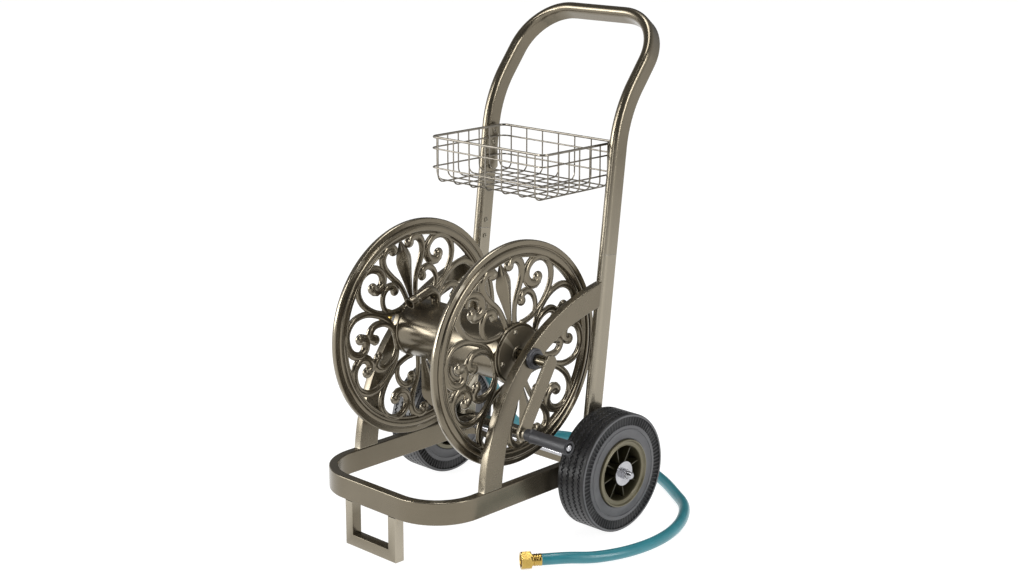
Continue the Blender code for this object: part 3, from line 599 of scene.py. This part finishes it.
def ring_of_wire(radius, z, inset):
    """A closed ring: a circle carried round the basket's rounded rectangle."""
    path = loop_path(BASKET_HALF_WIDTH - inset, BASKET_FRONT + inset, BASKET_REAR - inset, 0.012, 0.012, z, 6)
    basket.grid(*swept(path, circle(radius, 8), np.cross(tangents(path, True), UP), UP), True)


def u_wire(axis, place, half_span, reach, drop):
    """A wire that comes down one wall, crosses the floor and goes up the other wall."""
    low, high = BASKET_BOTTOM + drop, BASKET_TOP - RIM_WIRE
    across = [(-half_span, high), (-half_span, low), (half_span, low), (half_span, high)]
    line = fillet(across, (0, 0.012, 0.012, 0), steps=5)
    path = np.zeros((len(line), 3))
    path[:, 2] = line[:, 1]
    path[:, axis] = line[:, 0] + reach
    path[:, 1 - axis] = place
    other = np.eye(3)[1 - axis]
    basket.grid(*swept(path, circle(WIRE, 6), other, np.cross(other, tangents(path))))


ring_of_wire(RIM_WIRE, BASKET_TOP - RIM_WIRE, RIM_WIRE)
for drop in (0.0215, 0.0545):
    ring_of_wire(WIRE * 1.1, BASKET_TOP - drop, WIRE)
for place in np.linspace(-3, 3, 7) * 0.0375:
    u_wire(1, place, depth_y - WIRE, middle_y, WIRE)
for place in middle_y + np.linspace(-3, 3, 7) * 0.0255:
    u_wire(0, place, BASKET_HALF_WIDTH - 3 * WIRE, 0.0, 3 * WIRE)
basket.piece("basket_wires", wire_plate, "cart", "grey_wire", "wire_basket")

dark_paint = bronze_paint("dark bronze paint", (500.0, 8.0), 0.36, 0.35)
bracket_y = upright_y(sum(BASKET_SCREWS) / 2)
for name, side_of in SIDES:
    w, low, high = 0.0098, BASKET_BOTTOM + GAP, BASKET_TOP - GAP
    outline = fillet([(bracket_y - w, low), (bracket_y + w, low), (bracket_y + w, high), (bracket_y - w, high)],
                     0.004, True, 4)
    x = side_of * (inner_face - GAP - BRACKET_THICKNESS / 2)
    bracket = Shell().grid(*slab(outline, BRACKET_THICKNESS, 0.0004, (x, 0, 0), (0, 1, 0), UP))
    bracket.piece("bracket_strap_" + name, dark_paint, "cart", "dark_bronze_paint", "basket_bracket_" + name)

# --- Wheels ------------------------------------------------------------------------------------------
# Solid moulded tyres with four zigzag grooves and a ring of radial notches on each shoulder, on ribbed hubs.
# They turn on a fixed zinc-plated axle, each held by a washer and a nut.

WHEEL_RADIUS, WHEEL_WIDTH, WHEEL_X = 0.1015, 0.058, 0.203
AXLE = np.array((0.0, 0.350, WHEEL_RADIUS))
AXLE_RADIUS, AXLE_HALF_LENGTH = 0.006, 0.251
AXLE_BORE = AXLE_RADIUS + GAP
RIM_RADIUS, HUB_LIP, BOSS_END = 0.058, 0.0315, 0.0285
NOTCHES, ZIGZAGS = 84, 84
TYRE_STEPS = 504
zinc = metal("zinc plate", (0.62, 0.62, 0.64), (0.36, 0.36, 0.38), 0.24)


def band(value, low, high, soft):
    """1 between low and high and 0 outside, with soft edges."""
    return np.clip((value - low) / soft, 0, 1) * np.clip((high - value) / soft, 0, 1)


def tread(angle, along, radius):
    """Cuts the tread. A groove follows x = place + 1.6 mm * a clipped sine of the angle and is 2.2 mm deep. A
    notch is a dent 2.8 mm deep where sin(notches * angle) > -0.35, between radii of 82 and 97 mm."""
    wave = np.clip(2.2 * np.sin(angle * ZIGZAGS), -1, 1) * 0.0016
    groove = sum(band(along, place + wave - 0.0015, place + wave + 0.0015, 0.0006)
                 for place in (-0.0185, -0.0062, 0.0062, 0.0185))
    outer = radius > WHEEL_RADIUS - 0.004
    radius = radius - 0.0022 * groove * outer
    notch = band(np.sin(angle * NOTCHES), -0.35, 9, 0.5) * band(radius, 0.0815, 0.0968, 0.0007)
    return along - 0.0028 * np.sign(along) * notch, radius


rubber = Finish("tyre rubber", Specular_IOR_Level=0.55, Coat_Weight=0.12, Coat_Roughness=0.3)
from_axle = rubber.node("SeparateXYZ", {}, (rubber.lay(),))
# Grey on the rounded shoulder, from 96.6 to 99 mm, is a painted highlight. Inside 81 mm the wall is painted
# dark grey and the notched ring faintly grey; the rest is near black.
shoulder_highlight = rubber.ramp(from_axle, 0.1005, 0.0990)
teeth = rubber.ramp(from_axle, 0.0972, 0.0966)
inner_wall = rubber.ramp(from_axle, 0.0822, 0.0812)
dust = rubber.object_noise(45.0)
pores = rubber.object_noise(1400.0, 1.0)
tone = rubber.mix(dust, (0.0045, 0.0045, 0.005), (0.010, 0.010, 0.011))
grey_and_highlight = rubber.mix(dust, (0.070, 0.070, 0.074), (0.120, 0.120, 0.126))
grey_and_highlight_mask = (shoulder_highlight - teeth + inner_wall * 0.8 + teeth * 0.10) * (dust * 0.3 + 0.75)
rubber.vary("Base Color", rubber.mix(grey_and_highlight_mask.clipped(), tone, grey_and_highlight))
rubber.vary("Roughness", dust * 0.2 + 0.34)
rubber.bump(pores * 0.5 + dust * 0.5, 0.0003, 0.35)

hub_paint = Finish("hub enamel", Metallic=0.45, Coat_Weight=0.25, Coat_Roughness=0.2)
rim_part = hub_paint.ramp(hub_paint.node("SeparateXYZ", {}, (hub_paint.lay(),)), 0.0455, 0.0480)
patches = hub_paint.object_noise(40.0)
deep = hub_paint.mix(patches, (0.022, 0.020, 0.009), (0.060, 0.052, 0.026))
pale = hub_paint.mix(patches, (0.110, 0.096, 0.056), (0.190, 0.168, 0.105))
hub_paint.vary("Base Color", hub_paint.mix(rim_part, deep, pale))
hub_paint.vary("Roughness", patches * 0.15 + 0.30)
hub_paint.bump(hub_paint.object_noise(600.0), 0.0001, 0.3)


def tyre_profile():
    """Half of the tyre's section from the middle of the tread to the rim, then its mirror image."""
    half = WHEEL_WIDTH / 2
    flat = np.stack([np.linspace(0, half - 0.0052, 46), np.full(46, WHEEL_RADIUS)], axis=1)
    shoulder = fillet([flat[-1], (half - 0.0012, WHEEL_RADIUS - 0.0002), (half - 0.0008, 0.0968)],
                      (0, 0.003, 0), steps=5)[1:]
    wall = [(half - 0.0018, r) for r in np.linspace(0.0964, 0.0806, 26)]
    ring = [(0.0016, 0.0785), (0.0012, 0.0764), (0.0001, 0.0756), (0.0001, 0.0746), (0.0012, 0.0738),
            (0.0022, 0.0700), (0.0026, 0.0640), (0.0016, 0.0612), (0.0020, 0.0592), (0.0036, RIM_RADIUS + GAP)]
    outer = np.vstack([flat, shoulder, wall, [(half - inset, radius) for inset, radius in ring]])
    mirrored = outer[::-1] * (-1, 1)
    return np.vstack([outer, mirrored[:-1]])


def rib(shell, centre, angle, end, low, high):
    """A thin straight rib of the hub, from its boss out to end, standing from x = low to x = high."""
    along = np.array((0.0, math.cos(angle), math.sin(angle)))
    outline = fillet([(low, 0.0150), (high, 0.0150), (high, end), (low, end)], 0.0006, True, 2)
    shell.grid(slab(outline, 0.0022, 0.0004, centre, ACROSS, along)[0], (0.03, 0.0, 0.0))


for name, side_of in SIDES:
    centre, way = AXLE + (side_of * WHEEL_X, 0, 0), (side_of, 0, 0)
    turned("tyre_tread_" + name, rubber, "wheel_" + name, "tyre", "tyre_" + name, tyre_profile(), TYRE_STEPS,
           centre, way, reshape=tread, sharp=30)
    rim = fillet([(HUB_LIP, 0.0560), (HUB_LIP - 0.0008, RIM_RADIUS), (-0.028, RIM_RADIUS), (-0.028, 0.051),
                  (-0.0035, 0.051), (-0.0035, 0.016), (-0.044, 0.016), (-0.044, AXLE_BORE),
                  (BOSS_END, AXLE_BORE), (BOSS_END, 0.016), (0.004, 0.0165), (0.004, 0.0455), (0.0240, 0.0466),
                  (HUB_LIP - 0.0040, 0.0474), (HUB_LIP - 0.0030, 0.0486), (HUB_LIP - 0.0038, 0.0500),
                  (HUB_LIP - 0.0034, 0.0538)], 0.0005, True, 3)
    hub = Shell().grid(*lathe(rim, 120, centre, way, True))
    for k in range(8):
        angle = math.pi * (k / 4 + 0.07)
        rib(hub, centre, angle, 0.0468, side_of * 0.0035, side_of * 0.0225)
        rib(hub, centre, angle, 0.0520, side_of * -0.0275, side_of * -0.003)
    hub.piece("hub_shell_" + name, hub_paint, "wheel_" + name, "dark_bronze_paint", "wheel_hub_" + name)
    face = side_of * (WHEEL_X + BOSS_END + GAP)
    washer = fillet([(0, AXLE_BORE), (0, 0.021), (0.002, 0.021), (0.002, AXLE_BORE)], 0.0005, True, 3)
    turned("washer_" + name, zinc, "cart", "zinc", "wheel_washer_" + name, washer, 64, AXLE + (face, 0, 0), way)
    nut = fillet([(0, AXLE_BORE), (0, 0.0088), (0.0008, 0.0096), (0.0068, 0.0096), (0.008, 0.0084),
                  (0.008, AXLE_BORE + 0.0008), (0.0074, AXLE_BORE)], 0.0002, True, 2, 0)
    turned("axle_nut_" + name, zinc, "cart", "zinc", "wheel_nut_" + name, nut, 72,
           AXLE + (face + side_of * 0.0023, 0, 0), way, reshape=hexagon(0.0095))

end, pitch, thread_start = AXLE_HALF_LENGTH, 0.0013, 0.2375
thread_end = end - 0.0016
along = np.linspace(thread_start, thread_end, int((thread_end - thread_start) / pitch * 6))
thread = np.stack([along, AXLE_RADIUS - 0.0004 * (0.5 - 0.5 * np.cos(2 * math.pi * along / pitch))], axis=1)
axle = np.vstack([thread, [(end - 0.0008, AXLE_RADIUS - 0.0010), (end, AXLE_RADIUS - 0.0018), (end, 0.0)]])
axle = np.vstack([axle[::-1] * (-1, 1), axle])
turned("axle_bar", zinc, "cart", "zinc", "wheel_axle", axle, 40, AXLE, ACROSS, False)

# --- Reel --------------------------------------------------------------------------------------------
# Two cast discs of scrollwork on a rolled steel drum. Each disc is a beaded rim, a hub ring, and four like
# quarters of scrolls round two leaves, the same on both faces. Dark hub plates are screwed over the hubs.

DISC_RADIUS, DISC_X, WEB, RELIEF = 0.188, 0.117, 0.009, 0.0058
PATTERN_TURN = math.radians(13)
DRUM_RADIUS, DRUM_WALL = 0.050, 0.0015
HUB_RING_RADIUS, PLATE_RADIUS, PLATE_THICKNESS, PLATE_SCREW_RADIUS = 0.052, 0.048, 0.004, 0.040

# A stroke of scrollwork, the leaf pointing up: its points in disc radii, and its width in mm where it starts
# and where it ends.
STROKES = (
    (((0.05, 0.25), (0.07, 0.36), (0.11, 0.47), (0.18, 0.57), (0.235, 0.67), (0.24, 0.76), (0.19, 0.825),
      (0.125, 0.830), (0.100, 0.795)), 10.0, 19.0),
    (((0.09, 0.25), (0.18, 0.235), (0.31, 0.26), (0.45, 0.335), (0.56, 0.46), (0.585, 0.59), (0.52, 0.70),
      (0.41, 0.735), (0.31, 0.69), (0.275, 0.61), (0.31, 0.535), (0.385, 0.515), (0.415, 0.555)), 10.5, 19.0),
    (((0.30, 0.255), (0.335, 0.34), (0.32, 0.43), (0.26, 0.49), (0.19, 0.48), (0.175, 0.43)), 9.5, 17.0),
    (((0.27, 0.085), (0.315, 0.19), (0.41, 0.285), (0.55, 0.36), (0.69, 0.365), (0.79, 0.29), (0.82, 0.18),
      (0.79, 0.075), (0.71, 0.02), (0.635, 0.05), (0.61, 0.13), (0.665, 0.165)), 11.0, 19.0),
)
SIDE_STROKE = ((0.505, 0.085), (0.555, 0.135), (0.53, 0.19), (0.46, 0.215), (0.35, 0.18), (0.275, 0.08))
# The leaf's half widths in mm, at their distances from the middle in disc radii.
LEAF = ((0.23, 1.6), (0.30, 4.5), (0.42, 8.5), (0.54, 13.5), (0.62, 17.0), (0.68, 17.4), (0.75, 13.0),
        (0.80, 7.5), (0.845, 3.0), (0.872, 0.5))

cast_paint = bronze_paint("cast bronze paint", (260.0, 18.0), 0.20, 0.7)


def bead_section():
    """Section of a stroke, one unit wide each way: a rounded bead between two narrow ledges, on both faces. Its
    height is 0.62 * sqrt(1 - (x / 0.86)^2) over the bead and 0.20 on the ledges."""
    x = np.cos(np.linspace(0, math.pi, 20))
    bead = 0.62 * np.sqrt(np.clip(1 - (x / 0.86) ** 2, 0, None))
    height = np.maximum(bead, 0.20 * np.clip((1 - abs(x)) / 0.04, 0, 1))
    face = np.stack([x, height], axis=1)
    return np.vstack([face, face[-2:0:-1] * (1, -1)])


class Disc:
    """One disc's strokes, placed from flat drawings in disc radii by a turn about the reel's axis."""

    def __init__(self, x):
        self.shell, self.x = Shell(), x
        self.u = np.array((0.0, math.cos(PATTERN_TURN), math.sin(PATTERN_TURN)))
        self.v = np.array((0.0, -math.sin(PATTERN_TURN), math.cos(PATTERN_TURN)))

    def place(self, flat):
        """Points of a drawing, (across, up), in the disc's plane."""
        flat = np.asarray(flat, float) * DISC_RADIUS
        return REEL + (self.x, 0, 0) + flat[..., :1] * self.u + flat[..., 1:2] * self.v

    def stroke(self, points, first, last):
        """A bead that widens along its curve, width = first + (last - first) * t^2, to a flattened ball."""
        path = self.place(smooth_route(points, 44))
        t = np.linspace(0, 1, len(path))
        width = (first + (last - first) * t ** 2) / 2000
        nose = np.sqrt(np.clip(1 - (1 - np.clip(t / 0.035, 0, 1)) ** 2, 0, 1))
        width = width * np.maximum(nose, 0.02)
        points, lay = swept(path, bead_section(), np.cross(tangents(path), ACROSS), ACROSS, width)
        points[..., 0] = self.x + np.clip(points[..., 0] - self.x, -RELIEF, RELIEF)
        self.shell.grid(points, lay)
        a = np.linspace(0, math.pi, 13)[:, None, None]
        b = np.linspace(0, 2 * math.pi, 24, endpoint=False)[None, :, None]
        flat = (np.cos(b) * self.u + np.sin(b) * self.v) * np.sin(a) * width[-1] * 1.04
        dome = path[-1] + flat + np.cos(a) * min(width[-1] * 0.64, RELIEF) * ACROSS
        self.shell.grid(dome, lay[-1, 0])

    def leaf(self, way):
        """A leaf with a raised midrib. Its height over its half width is 0.40 * (1 - |s|^1.6) +
        0.10 * (1 - s^2), plus the midrib's, where s runs across it from -1 to 1."""
        drawn = smooth_route([(0.0, y, w / 1000) for y, w in LEAF], 46)
        path = self.place(drawn[:, :2] * (1, way))
        width = np.maximum(drawn[:, 2], 0.0003)
        s = np.cos(np.linspace(0, math.pi, 25))
        midrib = 0.0875 * np.exp(-(s / 0.10) ** 2)
        face = np.stack([s, 0.40 * (1 - abs(s) ** 1.6) + midrib + 0.1 * (1 - s ** 2)], axis=1)
        section = np.vstack([face, face[-2:0:-1] * (1, -1)])
        self.shell.grid(*swept(path, section, np.cross(tangents(path), ACROSS), ACROSS, width))


def disc_rim():
    """Section of the rim: a thin inner bead, the main bead and a flat outer band, on both faces."""
    a = np.linspace(0, math.pi, 11)
    thin = np.stack([0.0026 + 0.0020 * np.sin(a), 0.1612 - 0.0017 * np.cos(a)], axis=1)
    main = np.stack([0.0030 + 0.0032 * np.sin(a), 0.1712 - 0.0062 * np.cos(a)], axis=1)
    band_edge = fillet([(0.0030, 0.1784), (0.0046, 0.1800), (0.0046, 0.1868), (0.0030, DISC_RADIUS)],
                       (0, 0.0006, 0.001, 0), steps=3)
    face = np.vstack([[(0.0010, 0.1590), (0.0026, 0.1592)], thin, [(0.0022, 0.1640)], main, band_edge])
    return np.vstack([face, face[::-1] * (-1, 1)])


for name, side_of in SIDES:
    disc = Disc(side_of * DISC_X)
    for across in (1, -1):
        for up in (1, -1):
            for points, first, last in STROKES:
                disc.stroke([(across * x, up * y) for x, y in points], first, last)
        inner = [(across * x, y) for x, y in SIDE_STROKE]
        inner += [(across * x, -y) for x, y in SIDE_STROKE[::-1]]
        middle = len(inner) // 2
        disc.stroke(inner[middle::-1], 10.0, 18.0)
        disc.stroke(inner[middle - 1:], 10.0, 18.0)
        disc.leaf(across)
    centre = REEL + (side_of * DISC_X, 0, 0)
    disc.shell.grid(*lathe(disc_rim(), 144, centre, ACROSS, True))
    face, bead = WEB / 2, WEB / 2 + 0.0012
    ring = [(face, HUB_RING_RADIUS), (bead, 0.0512), (bead, 0.0490), (face, 0.0475), (face, 0.0100)]
    ring = [(-x, radius) for x, radius in ring[::-1]] + ring
    disc.shell.grid(*lathe(fillet(ring, 0.0006, True, 3), 96, centre, ACROSS, True))
    disc.shell.piece("scroll_disc_" + name, cast_paint, "reel", "bronze_paint", "reel_disc_" + name, sharp=50)

    face, bore, collar = side_of * (DISC_X + WEB / 2 + GAP), 0.0093, PLATE_THICKNESS + 0.0012
    cover = fillet([(0, bore), (0, PLATE_RADIUS), (PLATE_THICKNESS, PLATE_RADIUS - 0.0006),
                    (PLATE_THICKNESS, 0.016), (collar, 0.0145), (collar, bore)], 0.0009, True, 4)
    turned("hub_cover_" + name, dark_paint, "reel", "dark_bronze_paint", "hub_plate_" + name, cover, 96,
           REEL + (face, 0, 0), (side_of, 0, 0))
    for k in range(4):
        angle = PATTERN_TURN + math.pi / 2 * k
        spot = REEL + (face + side_of * (PLATE_THICKNESS + GAP), PLATE_SCREW_RADIUS * math.cos(angle),
                       PLATE_SCREW_RADIUS * math.sin(angle))
        screw(f"hub_screw_{name}_{k + 1}", spot, (side_of, 0, 0), "reel")

end, outer, inner = DISC_X - WEB / 2 - GAP, DRUM_RADIUS, DRUM_RADIUS - DRUM_WALL
drum_paint = bronze_paint("drum paint", (130.0, 9.0), 0.24, 0.2)
drum = fillet([(-end, inner), (-end, outer), (end, outer), (end, inner)], 0.0005, True, 2)
turned("drum_tube", drum_paint, "reel", "bronze_paint", "drum", drum, 128, REEL, ACROSS)

# --- Water way of the reel ---------------------------------------------------------------------------
# A brass pipe brings the water in along the axis. A bronze-painted elbow rises from it through the drum, bends
# to the front and ends in a collar and a ribbed nut that takes the garden hose.

OUTLET_X, PIPE_RADIUS, INLET_X = -0.080, 0.0085, -0.190
SHAFT_RADIUS = 0.009
pipe = fillet([(INLET_X - 0.006, 0), (INLET_X - 0.006, PIPE_RADIUS), (OUTLET_X + 0.012, PIPE_RADIUS),
               (OUTLET_X + 0.012, 0)], (0, 0.0006, 0.0006, 0), steps=2)
turned("water_pipe", brass, "reel", "brass", "inlet_pipe", pipe, 48, REEL, ACROSS, False)

elbow_corners = [(OUTLET_X, 0.010, PIPE_RADIUS + 0.0006), (OUTLET_X, 0.010, 0.0755), (OUTLET_X, -0.050, 0.0555)]
elbow_path = evenly(REEL + fillet(elbow_corners, (0, 0.016, 0), steps=16), 70)
along = tangents(elbow_path)
elbow = Shell().grid(*swept(elbow_path[:-9], circle(0.0088, 28), ACROSS, np.cross(along, ACROSS)[:-9]))
mouth_profile = [(-0.0195, 0.0080), (-0.0195, 0.0098), (-0.0165, 0.0098), (-0.0165, 0.0090), (-0.0135, 0.0090),
                 (-0.0135, 0.0102), (-0.0015, 0.0104), (0.0, 0.0098), (0.0, 0.0076), (-0.0100, 0.0072),
                 (-0.0100, 0.0050)]


def nut_ribs(angle, along, radius):
    """Twelve soft ribs round the nut's grip."""
    grip = (radius > 0.0100) & (along > -0.0134)
    return along, radius - np.where(grip, 0.0006 * (0.5 + 0.5 * np.cos(angle * 12)), 0)


elbow.grid(*lathe(fillet(mouth_profile, 0.0004, True, 2, 0), 96, elbow_path[-1], along[-1], True, nut_ribs))
elbow.piece("outlet_elbow", paint, "reel", "bronze_paint", "outlet_gooseneck")

bush_plastic = Finish("bush plastic", Coat_Weight=0.1, Coat_Roughness=0.3)
speckle = bush_plastic.object_noise(700.0)
clouds = bush_plastic.object_noise(60.0)
bush_plastic.vary("Base Color", bush_plastic.mix(clouds, (0.022, 0.022, 0.026), (0.060, 0.060, 0.068)))
bush_plastic.vary("Roughness", speckle * 0.2 + 0.34)
bush_plastic.bump(speckle, 0.0001, 0.4)
barrel, flange = 0.0125, 0.0175
inside, outer = HALF_WIDTH - BAR_THICKNESS - 0.002, HALF_WIDTH + GAP
for (name, side_of), shaft in zip(SIDES, (PIPE_RADIUS, SHAFT_RADIUS)):
    bore = shaft + 0.0004
    bush = fillet([(inside, bore), (inside, barrel), (outer, barrel), (outer, flange), (outer + 0.0045, flange),
                   (outer + 0.0055, flange - 0.0022), (outer + 0.009, flange - 0.0028), (outer + 0.009, bore)],
                  0.0009, True, 3)
    turned("bush_" + name, bush_plastic, "cart", "dark_plastic", "shaft_bush_" + name, bush, 72, REEL,
           (side_of, 0, 0))

start, end = HALF_WIDTH + 0.009 + 0.0006, -INLET_X + 0.012
swivel = fillet([(start, PIPE_RADIUS + GAP), (start, 0.0132), (start + 0.004, 0.015), (start + 0.010, 0.015),
                 (start + 0.011, 0.0138), (start + 0.013, 0.0138), (start + 0.014, 0.015), (end - 0.004, 0.015),
                 (end, 0.011), (end, 0.0), (-INLET_X + 0.0065, 0.0), (-INLET_X + 0.0065, PIPE_RADIUS + GAP)],
                (0.0005,) * 9 + (0, 0, 0), True, 2)
swivel = Shell().grid(*lathe(swivel, 72, REEL, (-1, 0, 0), True))
stub = REEL + np.linspace((INLET_X, 0.0085, 0.0002), (INLET_X, 0.0300, -0.0065), 6)
swivel.grid(*round_bar(stub, 0.009, 40))
swivel.piece("water_swivel", brass, "cart", "brass", "inlet_swivel")

# --- Crank -------------------------------------------------------------------------------------------
# A flat bar on the end of the plated shaft carries a bolt, and a moulded grip turns on the bolt between a steel
# collar and the bolt's head.

SHAFT_END = 0.1907
CRANK_RADIUS, CRANK_TURN = 0.120, math.radians(31.5)
ARM_HALF_WIDTH, ARM_THICKNESS = 0.0130, 0.006
GRIP_RADIUS, GRIP_START, GRIP_END = 0.0118, 0.2027, 0.2935
BOLT_RADIUS, BOLT_BORE = 0.004, 0.0043
shaft_plate = metal("plated shaft", (0.34, 0.30, 0.22), (0.16, 0.14, 0.10), 0.20, 300.0)
shaft = fillet([(0.100, 0), (0.100, SHAFT_RADIUS), (SHAFT_END, SHAFT_RADIUS), (SHAFT_END, 0)],
               (0, 0.0008, 0.0006, 0), steps=3)
turned("crank_shaft", shaft_plate, "reel", "shaft_steel", "reel_shaft", shaft, 64, REEL, ACROSS, False)
down = np.array((0.0, -math.sin(CRANK_TURN), -math.cos(CRANK_TURN)))
sideways = np.array((0.0, -math.cos(CRANK_TURN), math.sin(CRANK_TURN)))
w = ARM_HALF_WIDTH
arc = np.linspace(0, math.pi, 19)
outline = np.vstack([np.stack([w * np.cos(arc), -w * np.sin(arc)], axis=1),
                     np.stack([-w * np.cos(arc), CRANK_RADIUS + w * np.sin(arc)], axis=1)])
arm_x = SHAFT_END + GAP + ARM_THICKNESS / 2
arm = Shell().grid(*slab(outline, ARM_THICKNESS, 0.0012, REEL + (arm_x, 0, 0), sideways, down))
arm.piece("crank_bar", arch_paint, "reel", "bronze_paint", "crank_arm")

crank_pin = REEL + down * CRANK_RADIUS
back, ahead, end = SHAFT_END, SHAFT_END + 2 * GAP + ARM_THICKNESS, GRIP_END
nut = fillet([(back - 0.005, BOLT_BORE), (back - 0.005, 0.0072), (back - 0.0043, 0.008), (back, 0.008),
              (back, BOLT_BORE)], 0.0002, True, 2, 0)
turned("crank_lock_nut", dull_zinc, "reel", "zinc", "crank_nut", nut, 72, crank_pin, ACROSS,
       reshape=hexagon(0.008))
collar = fillet([(ahead, BOLT_BORE), (ahead, 0.0085), (ahead + 0.0045, 0.0075), (ahead + 0.0045, BOLT_BORE)],
                0.0004, True, 2)
turned("grip_collar_ring", dull_zinc, "reel", "zinc", "grip_collar", collar, 56, crank_pin, ACROSS)
bolt = [(back - 0.008, 0), (back - 0.008, BOLT_RADIUS - 0.0006), (back - 0.0074, BOLT_RADIUS),
        (end - 0.0045, BOLT_RADIUS), (end - 0.0045, 0.006), (end - 0.0020, 0.006), (end - 0.0006, 0.0052),
        (end + 0.0002, 0.0040), (end + 0.0005, 0.0030), (end - 0.0004, 0.0026), (end - 0.0004, 0)]
turned("grip_bolt_pin", zinc, "reel", "zinc", "grip_bolt", bolt, 56, crank_pin, ACROSS, False)

grip_rubber = Finish("grip rubber", Specular_IOR_Level=0.5, Coat_Weight=0.05, Coat_Roughness=0.4)
pores = grip_rubber.object_noise(1500.0, 1.0)
haze = grip_rubber.object_noise(50.0)
grip_rubber.vary("Base Color", grip_rubber.mix(haze, (0.010, 0.010, 0.012), (0.022, 0.022, 0.026)))
grip_rubber.vary("Roughness", haze * 0.16 + 0.42)
grip_rubber.bump(pores, 0.00015, 0.5)
near_end = [(0, BOLT_BORE - GRIP_RADIUS), (0, -0.0030), (0.0016, -0.0020), (0.0100, -0.0020), (0.0106, -0.0004),
            (0.0120, 0), (0.0134, -0.0004), (0.0148, -0.0010), (0.035, -0.0014), (0.060, -0.0006)]
far_end = [(end - 0.010, GRIP_RADIUS - 0.0002), (end - 0.0035, GRIP_RADIUS), (end - 0.0016, GRIP_RADIUS),
           (end, GRIP_RADIUS - 0.0016), (end, 0.0095), (end - 0.0010, 0.0078), (end - 0.006, 0.0075),
           (end - 0.006, BOLT_BORE)]
grip = [(GRIP_START + along, GRIP_RADIUS + rise) for along, rise in near_end] + far_end
turned("grip_sleeve", grip_rubber, "grip", "grip_rubber", "crank_grip", fillet(grip, 0.0008, True, 3, 0), 72,
       crank_pin, ACROSS)

# --- What stays of the frame -------------------------------------------------------------------------
# The splice sleeves are inside the tube. They keep their shape and get the plated finish.

for name, _ in SIDES:
    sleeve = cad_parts["splice_sleeve_" + name]
    sleeve.data.materials.clear()
    sleeve.data.materials.append(zinc.material)

# --- Floor and light ---------------------------------------------------------------------------------
# A plain white floor and background, three soft panels, and a sky whose broad bright patches show in the metal.
# The camera sees the sky as plain white.

FLOOR_REACH = 30.0

floor_mesh = bpy.data.meshes.new("floor")
corners = [(x * FLOOR_REACH, y * FLOOR_REACH, 0) for x, y in ((-1, -1), (1, -1), (1, 1), (-1, 1))]
floor_mesh.from_pydata(corners, [], [(0, 1, 2, 3)])
floor = bpy.data.objects.new("floor", floor_mesh)
floor_finish = Finish("floor", Roughness=0.9, Specular_IOR_Level=0.1)
floor_finish.shader.inputs["Base Color"].default_value = (0.25, 0.25, 0.25, 1)
floor_finish.shader.inputs["Emission Color"].default_value = (1, 1, 1, 1)
floor_finish.shader.inputs["Emission Strength"].default_value = 0.92
floor_mesh.materials.append(floor_finish.material)
bpy.context.scene.collection.objects.link(floor)

world = bpy.data.worlds.new("studio")
bpy.context.scene.world = world
world.use_nodes = True
background = world.node_tree.nodes["Background"]


def light_panel(name, place, target, width, height, power):
    data = bpy.data.lights.new(name, "AREA")
    data.shape, data.size, data.size_y, data.energy = "RECTANGLE", width, height, power
    lamp = bpy.data.objects.new(name, data)
    lamp.location = place
    lamp.rotation_mode = "QUATERNION"
    lamp.rotation_quaternion = (Vector(target) - Vector(place)).to_track_quat("-Z", "Y")
    bpy.context.scene.collection.objects.link(lamp)


light_panel("key_panel", (-1.2, -2.9, 1.9), (0, 0.2, 0.35), 0.45, 2.4, 60)
light_panel("right_panel", (3.2, 0.6, 1.6), (0, 0.2, 0.35), 0.40, 2.4, 34)
light_panel("top_panel", (0.2, 0.4, 3.2), (0, 0.2, 0.3), 2.4, 0.7, 40)


class SkyFinish(Finish):
    """The same node building, on the world's tree."""

    def __init__(self, tree):
        self.tree = tree


sky = SkyFinish(world.node_tree)
way = sky.node("TexCoord", {}, {}, output=0)
lobes = 0.0
for direction, sharpness, level in (((-0.64, -0.76, 0.10), 30, 13.0), ((0.32, -0.93, 0.08), 220, 6.0),
                                    ((0.97, 0.05, 0.26), 60, 4.0), ((0.62, 0.76, 0.05), 3, 0.75),
                                    ((-0.20, 0.30, 0.93), 40, 2.5), ((-0.95, 0.30, 0.15), 20, 0.9)):
    aim = Vector(direction).normalized()
    facing = sky.node("VectorMath", {"operation": "DOT_PRODUCT"}, {0: way, 1: tuple(aim)}, output=1)
    lobes = facing.math("POWER", facing.clipped(), float(sharpness)) * level + lobes
to_eye = sky.node("LightPath", {}, {}, output=0)
strength = (lobes + 0.05) * (1 - to_eye) + to_eye
sky.join(background.inputs["Strength"], strength)
background.inputs["Color"].default_value = (1, 1, 1, 1)
bpy.context.scene.view_settings.view_transform = "Standard"
